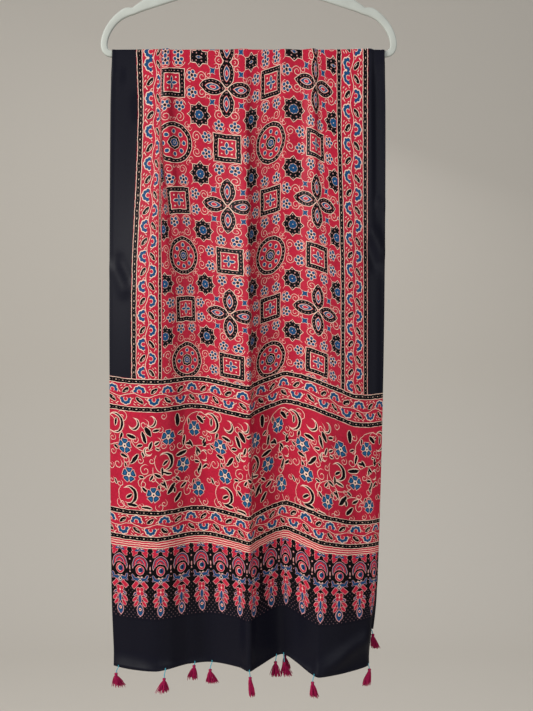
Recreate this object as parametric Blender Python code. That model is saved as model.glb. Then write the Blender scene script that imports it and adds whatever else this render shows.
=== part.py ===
"""An ajrakh cloth with tasselled ends, hung over the bar of a clothes hanger.

Metres, +Z up, and -Y is the side that faces the viewer. The origin is the inside top of the
hook, where the hanger hangs. The cloth is one thin closed sheet that goes over the bar, with a
front fall, a back fall and the main folds of each. Tassels hang from both hems by short threads.
"""

import math
import random

import bmesh
import bpy
from mathutils import Vector

MM = 0.001

# Cloth
CLOTH_LENGTH = 1.816
CLOTH_THICK = 0.0012
FRONT_LENGTH = 0.916  # from the front hem to the crown, in the first valley of the front fall
CROWN_GAP = 0.0005  # between the cloth and the top of the bar
SIDE_GAP = 0.0020  # between the cloth and the sides of the bar
COLUMN_STEP = 0.0130
ROW_STEP = 0.058
CROWN_STEPS = 6

# Hanger
BAR_TOP = -0.205
BAR_HIGH = 0.0100
FRAME_THICK = 0.0055
FRAME_SIDES = 12
WIRE_RADIUS = 0.00175
WIRE_SIDES = 8
HOOK_RADIUS = 0.0210  # to the middle of the wire
HOOK_START = -58.0  # degrees round the hook, from +X
HOOK_END = 196.0
FIT_GAP = 0.0003

# Tassels
THREAD_RADIUS = 0.0006
THREAD_SIDES = 6
HEAD_RADIUS = 0.0022
LOCKS = 8
LOCK_FILL = 0.86  # share of the circle that the locks take up
LOCK_INNER = 0.40  # a lock's inner side, as a share of its outer side's radius
ROOT_DEEP = 0.62  # the ring of roots and the gaps between them, as shares of the head's radius
ROOT_GAP = 0.06
LOCK_STEPS = 3
TASSEL_DEPTH = 0.65  # front to back, as a share of side to side

# Lengths of warp below the crown at which the folds are laid out.
LEVELS = (0.0, 0.09, 0.375, 0.93)

# The front fall, one row for each crest, foot or edge of a fold, in millimetres.
# weft: place across the flat cloth. across: place across the hung cloth, at each level.
# out: how far it stands out from the hanger's middle plane, at each level.
# slide: how far the cloth there has slid to the front over the bar.
# hem: how much lower than the even line the hem hangs there.
FRONT_FOLDS = (
    dict(weft=0, across=(-204, -206, -207, -201), out=(5.5, 8, 10, 18), slide=5, hem=3),
    dict(weft=38, across=(-168, -165, -173, -168), out=(5.7, 10, 20, 28), slide=8, hem=1),
    dict(weft=82, across=(-131, -130, -131, -130), out=(6.4, 14, 30, 34), slide=9, hem=1),
    dict(weft=104, across=(-120, -117, -114, -111), out=(7.6, 16, 25, 28), slide=8, hem=1),
    dict(weft=122, across=(-117, -113, -102, -95), out=(5.5, 9, 16, 19), slide=5, hem=0),
    dict(weft=162, across=(-89, -88, -75, -60), out=(5.6, 7, 7, 8), slide=0, hem=0),
    dict(weft=218, across=(-33, -33, -28, -13), out=(5.8, 12, 21, 30), slide=10, hem=1),
    dict(weft=246, across=(-6, -5, 0, 2), out=(7.0, 17, 34, 46), slide=17, hem=2),
    dict(weft=263, across=(6, 5, 6, 12), out=(5.7, 11, 24, 36), slide=13, hem=0),
    dict(weft=312, across=(41, 41, 40, 50), out=(5.5, 7, 6, 6), slide=1, hem=-9),
    dict(weft=330, across=(54, 54, 54, 64), out=(6.8, 10, 8, 12), slide=0, hem=-8),
    dict(weft=352, across=(77, 76, 73, 80), out=(5.6, 9, 13, 24), slide=6, hem=-2),
    dict(weft=380, across=(98, 97, 99, 101), out=(7.6, 16, 28, 41), slide=15, hem=5),
    dict(weft=396, across=(104, 105, 111, 112), out=(5.5, 11, 30, 42), slide=19, hem=6),
    dict(weft=426, across=(126, 126, 131, 134), out=(5.9, 12, 27, 33), slide=24, hem=8),
    dict(weft=462, across=(159, 158, 160, 163), out=(6.4, 14, 23, 21), slide=32, hem=8),
    dict(weft=486, across=(181, 180, 179, 179), out=(7.4, 14, 17, 15), slide=33, hem=7),
    dict(weft=503, across=(189, 190, 190, 186), out=(5.6, 8, 14, 11), slide=32, hem=7),
    dict(weft=520, across=(203, 204, 202, 189), out=(5.5, 7, 9, 7), slide=31, hem=6),
)

# The back fall, in the same way. The slide over the bar is the front's.
BACK_FOLDS = (
    dict(weft=0, across=(-204, -206, -206, -202), out=(5.5, 7, 9, 11), hem=-40),
    dict(weft=38, across=(-168, -169, -172, -171), out=(5.7, 10, 20, 27), hem=-32),
    dict(weft=82, across=(-131, -132, -136, -139), out=(6.4, 13, 23, 30), hem=-20),
    dict(weft=104, across=(-120, -118, -118, -120), out=(7.6, 14, 18, 21), hem=-12),
    dict(weft=122, across=(-117, -113, -107, -105), out=(5.5, 8, 12, 13), hem=-5),
    dict(weft=170, across=(-81, -79, -69, -65), out=(5.6, 8, 10, 12), hem=3),
    dict(weft=218, across=(-33, -34, -31, -27), out=(5.8, 11, 24, 31), hem=12),
    dict(weft=246, across=(-6, -6, -6, -3), out=(7.0, 13, 21, 25), hem=18),
    dict(weft=263, across=(6, 6, 6, 9), out=(5.7, 9, 14, 17), hem=16),
    dict(weft=312, across=(41, 42, 43, 45), out=(5.5, 8, 9, 11), hem=6),
    dict(weft=352, across=(77, 75, 74, 73), out=(5.6, 11, 22, 29), hem=7),
    dict(weft=380, across=(98, 97, 95, 93), out=(7.6, 13, 19, 24), hem=9),
    dict(weft=396, across=(104, 104, 104, 104), out=(5.5, 9, 13, 16), hem=10),
    dict(weft=440, across=(139, 138, 137, 136), out=(6.0, 11, 20, 25), hem=11),
    dict(weft=486, across=(181, 178, 174, 171), out=(7.4, 11, 13, 14), hem=9),
    dict(weft=520, across=(203, 205, 200, 192), out=(5.5, 7, 9, 12), hem=6),
)

# The corners of the hems are drawn in sideways over the last stretch of each edge.
CORNER_NIPS = (dict(weft=0, inward=3.0), dict(weft=520, inward=-10.0))
NIP_WIDE = 0.070
NIP_FROM = 0.80
NIP_TO = 0.93

# One row for each tassel, in millimetres. weft: place along the hem. thread: its length.
# shift: sideways run of the thread. long: the tassel. lean: sideways run of its locks.
# spread: how far the outer locks stand off its middle line at the tips.
FRONT_TASSELS = (
    dict(weft=9, thread=9.5, shift=-4.0, long=21, lean=4.5, spread=10.0),
    dict(weft=93, thread=12.0, shift=-2.0, long=22, lean=-3.0, spread=10.0),
    dict(weft=140, thread=3.5, shift=-1.5, long=22, lean=-2.5, spread=8.0),
    dict(weft=169, thread=11.0, shift=-3.0, long=22, lean=3.0, spread=9.0),
    dict(weft=246, thread=8.0, shift=1.0, long=29, lean=3.0, spread=4.0),
    dict(weft=300, thread=9.0, shift=-1.5, long=24, lean=0.5, spread=7.5),
    dict(weft=317, thread=12.0, shift=1.0, long=22, lean=4.0, spread=8.5),
    dict(weft=386, thread=9.0, shift=-2.0, long=24, lean=3.0, spread=6.5),
    dict(weft=506, thread=6.0, shift=2.0, long=26, lean=-5.0, spread=5.5),
)
BACK_TASSELS = (
    dict(weft=6, thread=8.0, shift=-2.0, long=23, lean=-1.5, spread=5.0),
    dict(weft=72, thread=9.0, shift=1.0, long=23, lean=1.0, spread=7.0),
    dict(weft=134, thread=7.0, shift=-1.5, long=22, lean=-2.0, spread=6.0),
    dict(weft=198, thread=10.0, shift=1.5, long=22, lean=2.0, spread=7.0),
    dict(weft=252, thread=8.0, shift=-2.0, long=24, lean=-1.0, spread=5.5),
    dict(weft=324, thread=9.0, shift=1.0, long=23, lean=2.0, spread=6.5),
    dict(weft=388, thread=8.0, shift=-1.0, long=22, lean=-2.0, spread=6.0),
    dict(weft=452, thread=10.0, shift=1.5, long=23, lean=1.5, spread=7.0),
    dict(weft=514, thread=8.0, shift=3.0, long=23, lean=4.0, spread=6.0),
)

# A tassel's head from its top down: below the top, and the radius as a share of the widest.
HEAD_PROFILE = (
    dict(down=0.0, wide=0.45),
    dict(down=1.2, wide=0.95),
    dict(down=2.8, wide=1.00),
    dict(down=3.8, wide=0.80),
    dict(down=5.0, wide=1.10),
)

# The hanger's left half, from the bar round to the neck, in millimetres. x, z: the middle of
# the frame, z from the middle of the bar. wide: how wide the frame is there.
FRAME_STATIONS = (
    dict(x=-203.5, z=0.0, wide=10.0),
    dict(x=-209.8, z=1.2, wide=10.0),
    dict(x=-214.8, z=5.4, wide=10.0),
    dict(x=-216.8, z=12.5, wide=10.3),
    dict(x=-215.5, z=24.0, wide=10.6),
    dict(x=-210.8, z=36.0, wide=11.0),
    dict(x=-203.0, z=47.5, wide=11.6),
    dict(x=-193.0, z=57.0, wide=12.6),
    dict(x=-182.5, z=63.0, wide=14.0),
    dict(x=-173.0, z=64.6, wide=11.0),
    dict(x=-165.0, z=69.0, wide=13.0),
    dict(x=-154.0, z=74.5, wide=16.5),
    dict(x=-120.0, z=85.5, wide=16.5),
    dict(x=-80.0, z=98.0, wide=16.5),
    dict(x=-42.0, z=109.5, wide=18.0),
    dict(x=-18.0, z=115.5, wide=21.0),
)
FRAME_NECK = dict(x=0.0, z=118.0, wide=25.0)

NAVY = (0.016, 0.016, 0.027)
MAROON = (0.24, 0.005, 0.030)
TURQUOISE = (0.055, 0.36, 0.52)
IVORY = (0.60, 0.62, 0.58)
STEEL = (0.60, 0.60, 0.62)

HALF_FRAME = FRAME_THICK / 2.0
BAR_MIDDLE = BAR_TOP - BAR_HIGH / 2.0
CROWN_CENTRE = BAR_TOP - HALF_FRAME
CROWN_RISE = HALF_FRAME + CROWN_GAP + CLOTH_THICK / 2.0
SIDE_REACH = HALF_FRAME + SIDE_GAP + CLOTH_THICK / 2.0
CROWN_ARC = math.pi * (SIDE_REACH + CROWN_RISE) / 2.0
HEM_FROM, HEM_TO = 0.58, 0.93  # where the slide over the bar gives way to the hem's own line


def remove_everything():
    for old in list(bpy.data.objects):
        bpy.data.objects.remove(old)


def material(name, colour, roughness, metallic=0.0):
    made = bpy.data.materials.new(name)
    made.use_nodes = True
    shader = made.node_tree.nodes["Principled BSDF"]
    shader.inputs["Base Color"].default_value = (*colour, 1.0)
    shader.inputs["Roughness"].default_value = roughness
    shader.inputs["Metallic"].default_value = metallic
    return made


def add_object(name, bm, finish, smooth=True):
    bmesh.ops.recalc_face_normals(bm, faces=bm.faces)
    mesh = bpy.data.meshes.new(name)
    bm.to_mesh(mesh)
    bm.free()
    mesh.materials.append(finish)
    if smooth:
        mesh.shade_smooth()
        mesh.set_sharp_from_angle(angle=math.radians(50.0))
    made = bpy.data.objects.new(name, mesh)
    bpy.context.scene.collection.objects.link(made)
    return made


def ease(share):
    share = min(max(share, 0.0), 1.0)
    return share * share * (3.0 - 2.0 * share)


def slopes(places, values):
    """Slope at each place for a curve that turns only where the values turn."""
    steps = [
        (values[i + 1] - values[i]) / (places[i + 1] - places[i])
        for i in range(len(places) - 1)
    ]
    found = [steps[0]]
    for before, after in zip(steps, steps[1:]):
        turns = before * after <= 0.0
        found.append(0.0 if turns else 2.0 * before * after / (before + after))
    found.append(steps[-1])
    return found


def read_curve(places, values, at):
    """The value at a place, on smooth cubic pieces through the values."""
    tilt = slopes(places, values)
    at = min(max(at, places[0]), places[-1])
    i = max(k for k in range(len(places) - 1) if places[k] <= at)
    span = places[i + 1] - places[i]
    t = (at - places[i]) / span
    keep = (1.0 + 2.0 * t) * (1.0 - t) ** 2
    lead = t * (1.0 - t) ** 2 * span
    come = t * t * (3.0 - 2.0 * t)
    trail = t * t * (t - 1.0) * span
    return keep * values[i] + lead * tilt[i] + come * values[i + 1] + trail * tilt[i + 1]


def read_folds(folds, column, weft, level=None):
    """One column of a fold table, anywhere across the cloth."""
    places = [row["weft"] * MM for row in folds]
    picked = [row[column] if level is None else row[column][level] for row in folds]
    return read_curve(places, [value * MM for value in picked], weft)


def read_fall(folds, column, weft, fallen):
    """The column's value at a length of warp below the crown."""
    values = [read_folds(folds, column, weft, k) for k in range(len(LEVELS))]
    return read_curve(LEVELS, values, fallen)


def corner_nip(weft, fallen):
    """How far the hem's corners are drawn in sideways."""
    share = ease((fallen - NIP_FROM) / (NIP_TO - NIP_FROM))
    moved = 0.0
    for row in CORNER_NIPS:
        near = ease(1.0 - abs(weft - row["weft"] * MM) / NIP_WIDE)
        moved += row["inward"] * MM * near * share
    return moved


def fall_point(folds, weft, fallen, towards):
    """A point of one fall. towards: -1 on the front, +1 on the back."""
    own_line = read_folds(folds, "hem", weft)
    slide = read_folds(FRONT_FOLDS, "slide", weft)
    if towards < 0.0:
        lower = ease((fallen - HEM_FROM) / (HEM_TO - HEM_FROM)) * (own_line - slide)
    else:
        lower = ease(fallen / HEM_TO) * own_line
    return Vector(
        (
            read_fall(folds, "across", weft, fallen) + corner_nip(weft, fallen),
            towards * read_fall(folds, "out", weft, fallen),
            CROWN_CENTRE - fallen - lower,
        )
    )


def cloth_point(weft, warp):
    """Where a point of the flat cloth hangs. warp is from the front hem.

    Over the bar the path is half an ellipse, which is wider where a tuck stands up.
    """
    below = FRONT_LENGTH + read_folds(FRONT_FOLDS, "slide", weft) - warp
    half = CROWN_ARC / 2.0
    if below > half:
        return fall_point(FRONT_FOLDS, weft, below - half, -1.0)
    if below < -half:
        return fall_point(BACK_FOLDS, weft, -below - half, 1.0)
    angle = math.pi * (0.5 + below / CROWN_ARC)  # 0 at the back of the bar, pi at its front
    reach = read_folds(FRONT_FOLDS, "out", weft, 0)
    return Vector(
        (
            read_folds(FRONT_FOLDS, "across", weft, 0),
            reach * math.cos(angle),
            CROWN_CENTRE + (CROWN_RISE + reach - SIDE_REACH) * math.sin(angle),
        )
    )


def column_places():
    """Places across the flat cloth: every row of the front table, and steps between them."""
    found = [0.0]
    for row in FRONT_FOLDS[1:]:
        start = found[-1]
        span = row["weft"] * MM - start
        count = max(1, round(span / COLUMN_STEP))
        found += [start + span * (k + 1) / count for k in range(count)]
    return found


def row_places(weft):
    """Places along the flat cloth in one column: steps on the falls, finer ones over the bar."""
    crown = FRONT_LENGTH + read_folds(FRONT_FOLDS, "slide", weft)
    front_end = crown - CROWN_ARC / 2.0
    back_start = crown + CROWN_ARC / 2.0
    tuck = 0.030  # the first step below the bar, where tucks open quickly
    count = round((FRONT_LENGTH - tuck) / ROW_STEP)
    front = [(front_end - tuck) * k / count for k in range(count + 1)]
    over = [front_end + CROWN_ARC * k / CROWN_STEPS for k in range(CROWN_STEPS + 1)]
    rest = CLOTH_LENGTH - back_start - tuck
    back = [back_start + tuck + rest * k / count for k in range(count + 1)]
    return front + over + back


def make_cloth(finish):
    columns = column_places()
    places = [row_places(weft) for weft in columns]
    last_column, last_row = len(columns) - 1, len(places[0]) - 1
    bm = bmesh.new()
    bmesh.ops.create_grid(bm, x_segments=last_column, y_segments=last_row, size=1.0)
    for vertex in bm.verts:
        column = round((vertex.co.x + 1.0) / 2.0 * last_column)
        row = round((vertex.co.y + 1.0) / 2.0 * last_row)
        vertex.co = cloth_point(columns[column], places[column][row])
    made = add_object("ajrakh_cloth", bm, finish)
    thicken = made.modifiers.new("thickness", "SOLIDIFY")
    thicken.thickness = CLOTH_THICK
    thicken.offset = 0.0
    thicken.use_even_offset = True
    return made


def sweep(bm, centres, ring_of, segments, closed):
    """A tube of rings, one for each centre. ring_of gives a ring's point for an angle."""
    rings = []
    for i, _ in enumerate(centres):
        ring = bmesh.ops.create_circle(bm, segments=segments, radius=1.0)["verts"]
        for vertex in ring:
            angle = math.atan2(vertex.co.y, vertex.co.x)
            vertex.co = ring_of(i, math.cos(angle), math.sin(angle))
        rings.append(ring)
    loops = [[e for e in bm.edges if e.verts[0] in ring and e.verts[1] in ring] for ring in rings]
    for i in range(len(loops) - (0 if closed else 1)):
        bmesh.ops.bridge_loops(bm, edges=loops[i] + loops[(i + 1) % len(loops)])
    if not closed:
        for loop in (loops[0], loops[-1]):
            bmesh.ops.holes_fill(bm, edges=loop, sides=segments)


def make_frame(finish):
    """The moulded frame: a wide flat section with rounded rims, carried all the way round."""
    left = [(row["x"] * MM, row["z"] * MM, row["wide"] * MM) for row in FRAME_STATIONS]
    neck = (FRAME_NECK["x"], FRAME_NECK["z"] * MM, FRAME_NECK["wide"] * MM)
    stations = left + [neck] + [(-x, z, wide) for x, z, wide in reversed(left)]

    def ring_of(i, c, s):
        x, z, wide = stations[i]
        before, after = stations[i - 1], stations[(i + 1) % len(stations)]
        run = Vector((after[0] - before[0], 0.0, after[1] - before[1])).normalized()
        side = Vector((-run.z, 0.0, run.x))
        square = max(abs(c), abs(s)) ** 0.6
        middle = Vector((x, 0.0, BAR_MIDDLE + z))
        return middle + side * (c / square * wide / 2.0) + Vector((0, s / square * HALF_FRAME, 0))

    bm = bmesh.new()
    sweep(bm, stations, ring_of, FRAME_SIDES, closed=True)
    return add_object("hanger_frame", bm, finish)


def neck_top():
    return BAR_MIDDLE + (FRAME_NECK["z"] + FRAME_NECK["wide"] / 2.0) * MM


def hook_route():
    """The wire's middle line: up from the neck, out to one side, and round over the top."""
    centre = WIRE_RADIUS - HOOK_RADIUS
    start = math.radians(HOOK_START)
    foot = Vector((0.0, 0.0, neck_top() + FIT_GAP))
    rise = Vector((0.0, 0.0, centre - HOOK_RADIUS * 1.55))
    meet = Vector((HOOK_RADIUS * math.cos(start), 0.0, centre + HOOK_RADIUS * math.sin(start)))
    aim = Vector((-math.sin(start), 0.0, math.cos(start)))
    points = [foot, foot.lerp(rise, 0.5)]
    reach = (meet - rise).length * 1.1
    for k in range(7):
        t = k / 7.0
        keep, come = (1 + 2 * t) * (1 - t) ** 2, t * t * (3 - 2 * t)
        lead, trail = t * (1 - t) ** 2 * reach, t * t * (t - 1) * reach
        points.append(keep * rise + come * meet + lead * Vector((0, 0, 1)) + trail * aim)
    count = 22
    for k in range(count + 1):
        angle = start + math.radians(HOOK_END - HOOK_START) * k / count
        points.append(
            Vector((HOOK_RADIUS * math.cos(angle), 0.0, centre + HOOK_RADIUS * math.sin(angle)))
        )
    return points


def make_hook(finish):
    route = hook_route()

    def ring_of(i, c, s):
        before, after = route[max(i - 1, 0)], route[min(i + 1, len(route) - 1)]
        run = (after - before).normalized()
        side = Vector((-run.z, 0.0, run.x))
        return route[i] + side * (c * WIRE_RADIUS) + Vector((0.0, s * WIRE_RADIUS, 0.0))

    bm = bmesh.new()
    sweep(bm, route, ring_of, WIRE_SIDES, closed=False)
    return add_object("hanger_hook", bm, finish)


def make_thread(name, top, bottom, finish):
    """A short round thread with a slight bow."""
    steps = 3
    bow = Vector((bottom.x - top.x, 0.0, 0.0)) * 0.5
    route = []
    for k in range(steps + 1):
        t = k / steps
        route.append(top.lerp(bottom, t) + bow * t * (1.0 - t))

    def ring_of(i, c, s):
        return route[i] + Vector((c * THREAD_RADIUS, s * THREAD_RADIUS, 0.0))

    bm = bmesh.new()
    sweep(bm, route, ring_of, THREAD_SIDES, closed=False)
    return add_object(name, bm, finish)


def lock_corners(face, top):
    """For each corner of a lock's root: -1 or +1 for its side, and whether it is the outer one."""
    middle = face.calc_center_median() - top
    found = []
    for vertex in face.verts:
        corner = vertex.co - top
        side = 1.0 if middle.xy.to_3d().cross(corner.xy.to_3d()).z > 0.0 else -1.0
        found.append((side, corner.xy.length > middle.xy.length))
    return found


def make_tassel(name, top, row, finish, rng):
    """A bound head whose under face is drawn out into locks that stand apart."""
    bm = bmesh.new()
    bmesh.ops.create_circle(bm, cap_ends=True, segments=LOCKS, radius=1.0)
    face = list(bm.faces)[0]
    for vertex in face.verts:
        vertex.co = top + vertex.co * HEAD_RADIUS * HEAD_PROFILE[0]["wide"]
    for number, station in enumerate(HEAD_PROFILE[1:]):
        made = bmesh.ops.extrude_face_region(bm, geom=[face])["geom"]
        if number > 0:
            bmesh.ops.delete(bm, geom=[face], context="FACES_ONLY")
        face = next(item for item in made if isinstance(item, bmesh.types.BMFace))
        for vertex in face.verts:
            outward = Vector((*(vertex.co - top).xy, 0.0)).normalized()
            vertex.co = top + outward * HEAD_RADIUS * station["wide"]
            vertex.co.z -= station["down"] * MM
    roots = bmesh.ops.inset_region(bm, faces=[face], thickness=HEAD_RADIUS * ROOT_DEEP)["faces"]
    bmesh.ops.inset_individual(bm, faces=roots, thickness=HEAD_RADIUS * ROOT_GAP)
    locks = []
    for root in roots:
        away = (root.calc_center_median() - top).xy
        locks.append(
            dict(
                face=root,
                angle=math.atan2(away.y, away.x),
                corners=lock_corners(root, top),
                length=row["long"] * rng.uniform(0.86, 1.0) * MM,
                splay=rng.uniform(0.85, 1.0),
            )
        )
    head_high = HEAD_PROFILE[-1]["down"] * MM
    for step in range(1, LOCK_STEPS + 1):
        t = step / LOCK_STEPS
        moved = bmesh.ops.extrude_discrete_faces(bm, faces=[lock["face"] for lock in locks])
        for lock, face in zip(locks, moved["faces"]):
            lock["face"] = face
            tip = row["spread"] * lock["splay"] * MM
            outer = HEAD_RADIUS + (tip - HEAD_RADIUS) * t**0.8
            middle = Vector((row["lean"] * MM * t, 0.0, 0.0))
            middle.z = -head_high - (lock["length"] - head_high) * t
            for vertex, (side, is_outer) in zip(face.verts, lock["corners"]):
                angle = lock["angle"] + side * math.pi / LOCKS * LOCK_FILL
                radius = outer if is_outer else outer * LOCK_INNER
                across = radius * math.cos(angle)
                deep = radius * math.sin(angle) * TASSEL_DEPTH
                vertex.co = top + middle + Vector((across, deep, 0.0))
    return add_object(name, bm, finish)


def hang_tassels(side, tassels, warp, thread_finish, tassel_finish, rng):
    """The threads and tassels of one hem."""
    for number, row in enumerate(tassels, start=1):
        weft = row["weft"] * MM
        hem = cloth_point(weft, warp)
        step = 2.0 * THREAD_RADIUS
        slope = abs(cloth_point(weft + step, warp).z - cloth_point(weft - step, warp).z)
        top = hem - Vector((0.0, 0.0, FIT_GAP + slope / 2.0))
        bottom = top + Vector((row["shift"], 0.0, -row["thread"])) * MM
        make_thread(f"{side}_thread_{number}", top, bottom, thread_finish)
        knot = bottom - Vector((0.0, 0.0, FIT_GAP))
        make_tassel(f"{side}_tassel_{number}", knot, row, tassel_finish, rng)


def main():
    remove_everything()
    rng = random.Random(7)
    ivory = material("ivory_plastic", IVORY, 0.55)
    turquoise = material("turquoise_thread", TURQUOISE, 0.7)
    maroon = material("maroon_yarn", MAROON, 0.8)
    make_cloth(material("ajrakh_print", NAVY, 0.5))
    make_frame(ivory)
    make_hook(material("hook_steel", STEEL, 0.3, 1.0))
    hang_tassels("front", FRONT_TASSELS, 0.0, turquoise, maroon, rng)
    hang_tassels("back", BACK_TASSELS, CLOTH_LENGTH, turquoise, maroon, rng)


main()
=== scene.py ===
import math
import random

import bmesh
import bpy
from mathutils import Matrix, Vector, noise


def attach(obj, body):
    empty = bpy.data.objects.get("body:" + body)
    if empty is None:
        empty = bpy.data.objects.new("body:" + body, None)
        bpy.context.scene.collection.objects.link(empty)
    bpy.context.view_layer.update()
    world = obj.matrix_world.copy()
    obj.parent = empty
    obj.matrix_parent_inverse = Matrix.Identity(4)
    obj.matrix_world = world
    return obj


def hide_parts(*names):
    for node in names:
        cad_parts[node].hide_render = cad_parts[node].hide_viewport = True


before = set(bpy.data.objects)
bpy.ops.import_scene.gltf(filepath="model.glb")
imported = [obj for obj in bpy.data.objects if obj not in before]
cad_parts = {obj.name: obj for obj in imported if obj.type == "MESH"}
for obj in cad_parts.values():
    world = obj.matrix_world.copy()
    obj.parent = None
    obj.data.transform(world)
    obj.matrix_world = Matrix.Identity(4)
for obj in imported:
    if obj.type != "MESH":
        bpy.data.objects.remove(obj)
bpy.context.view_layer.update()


# An ajrakh cloth with tasselled ends, hung over the bar of a clothes hanger. Metres, +Z up, and -Y
# is the side that faces the viewer. The origin is the inside top of the hook.

MM = 0.001

# Cloth
CLOTH_WIDTH = 0.520
CLOTH_LENGTH = 1.816
FRONT_LENGTH = 0.916
SHEET_THICK = 0.0007
CROWN_GAP = 0.0005
SIDE_GAP = 0.0020
SOLID_THICK = 0.0012
CROWN_STEPS = 10
TURN_WIDE = 0.0045  # the hems' turned edge
TURN_THICK = 0.0009  # what the turned edge adds to the thickness

# Hanger
BAR_TOP = -0.205
BAR_HIGH = 0.0100
FRAME_THICK = 0.0055
FRAME_SIDES = 28
FRAME_STEPS = 6
WIRE_RADIUS = 0.00175
WIRE_SIDES = 20
HOOK_RADIUS = 0.0210
HOOK_START = -58.0
HOOK_END = 196.0
FIT_GAP = 0.0003

# Lengths of warp below the crown at which the folds are laid out.
LEVELS = (0.0, 0.09, 0.375, 0.93)
# The front fall, one row for each crest, foot or edge of a fold, in millimetres.
# weft: place across the flat cloth. across: place across the hung cloth, at each level.
# out: how far it stands out from the hanger's middle plane, at each level.
# slide: how far the cloth there has slid to the front over the bar.
# hem: how much lower than the even line the hem hangs there.
FRONT_FOLDS = (
    dict(weft=0, across=(-204, -206, -207, -201), out=(5.5, 8, 10, 18), slide=5, hem=2),
    dict(weft=38, across=(-168, -165, -173, -168), out=(5.7, 10, 20, 28), slide=9, hem=4),
    dict(weft=78, across=(-130.5, -131, -134.5, -133.5), out=(6.4, 14, 29.2, 34), slide=10, hem=4.5),
    dict(weft=97, across=(-129.8, -130.2, -119.5, -117), out=(6.5, 14, 27, 30.5), slide=9, hem=3),
    dict(weft=117, across=(-129, -129.5, -105.3, -99.5), out=(6.6, 14.1, 18.3, 21.5), slide=7, hem=2),
    dict(weft=128, across=(-120, -118.5, -98, -90), out=(7.6, 15.8, 14, 16.5), slide=6, hem=1.5),
    dict(weft=134, across=(-117, -114.2, -94, -84.5), out=(5.5, 11, 12.5, 14.5), slide=5, hem=1.5),
    dict(weft=162, across=(-89, -88, -75, -60), out=(5.6, 7, 7, 8), slide=6, hem=1.5),
    dict(weft=218, across=(-33, -33, -28, -13), out=(5.8, 12, 21, 30), slide=15, hem=1.5),
    dict(weft=246, across=(-6, -5, 0, 2), out=(7.0, 17, 34, 46), slide=19, hem=2),
    dict(weft=263, across=(6, 5, 6, 12), out=(5.7, 11, 24, 36), slide=15, hem=0),
    dict(weft=312, across=(41, 41, 40, 50), out=(5.5, 7, 6, 6), slide=2, hem=-9.5),
    dict(weft=330, across=(54, 54, 54, 58), out=(6.8, 10, 8, 9.3), slide=-2, hem=-8),
    dict(weft=352, across=(77, 76, 73, 72), out=(5.6, 9, 13, 18), slide=1, hem=-1),
    dict(weft=380, across=(98, 97, 99, 91), out=(7.6, 16, 28, 33), slide=8, hem=8),
    dict(weft=396, across=(104, 105, 111, 102.5), out=(5.5, 11, 30, 41.3), slide=13, hem=10.5),
    dict(weft=426, across=(126, 126, 131, 127), out=(5.9, 12, 27, 36.5), slide=21, hem=10),
    dict(weft=462, across=(159, 158, 160, 161), out=(6.4, 14, 23, 21.8), slide=32, hem=8),
    dict(weft=486, across=(181, 180, 179, 179), out=(7.4, 14, 17, 15), slide=33, hem=6),
    dict(weft=503, across=(189, 190, 190, 186), out=(5.6, 8, 14, 11), slide=32, hem=5.5),
    dict(weft=520, across=(203, 204, 202, 189), out=(5.5, 7, 9, 7), slide=31, hem=4),
)

# The back fall, in the same way. The slide over the bar is the front's.
BACK_FOLDS = (
    dict(weft=0, across=(-204, -206, -206, -202), out=(5.5, 7, 9, 11), hem=-40),
    dict(weft=38, across=(-168, -169, -172, -171), out=(5.7, 10, 20, 27), hem=-32),
    dict(weft=78, across=(-130.5, -134.5, -139.5, -142.5), out=(6.4, 12.8, 22.5, 29.5), hem=-21),
    dict(weft=97, across=(-129.8, -122.5, -123.5, -126), out=(6.5, 13.6, 19.7, 24), hem=-15),
    dict(weft=117, across=(-129, -114.3, -110, -109), out=(6.6, 9.5, 13.5, 15), hem=-7),
    dict(weft=128, across=(-120, -109, -102, -100), out=(7.6, 8, 11.7, 12.8), hem=-4),
    dict(weft=134, across=(-117, -104.7, -97.5, -95), out=(5.5, 8, 11.5, 12.7), hem=-3),
    dict(weft=170, across=(-81, -79, -69, -65), out=(5.6, 8, 10, 12), hem=3),
    dict(weft=218, across=(-33, -34, -31, -27), out=(5.8, 11, 24, 31), hem=12),
    dict(weft=246, across=(-6, -6, -6, -3), out=(7.0, 13, 21, 25), hem=18),
    dict(weft=263, across=(6, 6, 6, 9), out=(5.7, 9, 14, 17), hem=16),
    dict(weft=312, across=(41, 42, 43, 45), out=(5.5, 8, 9, 11), hem=6),
    dict(weft=352, across=(77, 75, 74, 73), out=(5.6, 11, 22, 29), hem=7),
    dict(weft=380, across=(98, 97, 95, 93), out=(7.6, 13, 19, 24), hem=9),
    dict(weft=396, across=(104, 104, 104, 104), out=(5.5, 9, 13, 16), hem=10),
    dict(weft=440, across=(139, 138, 137, 136), out=(6.0, 11, 20, 25), hem=11),
    dict(weft=486, across=(181, 178, 174, 171), out=(7.4, 11, 13, 14), hem=9),
    dict(weft=520, across=(203, 205, 200, 192), out=(5.5, 7, 9, 12), hem=6),
)

# The corners of the hems are drawn in sideways over the last stretch of each edge.
CORNER_NIPS = (dict(weft=0, inward=3.0), dict(weft=520, inward=-10.0))
NIP_WIDE = 0.070
NIP_FROM = 0.80
NIP_TO = 0.93

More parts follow.
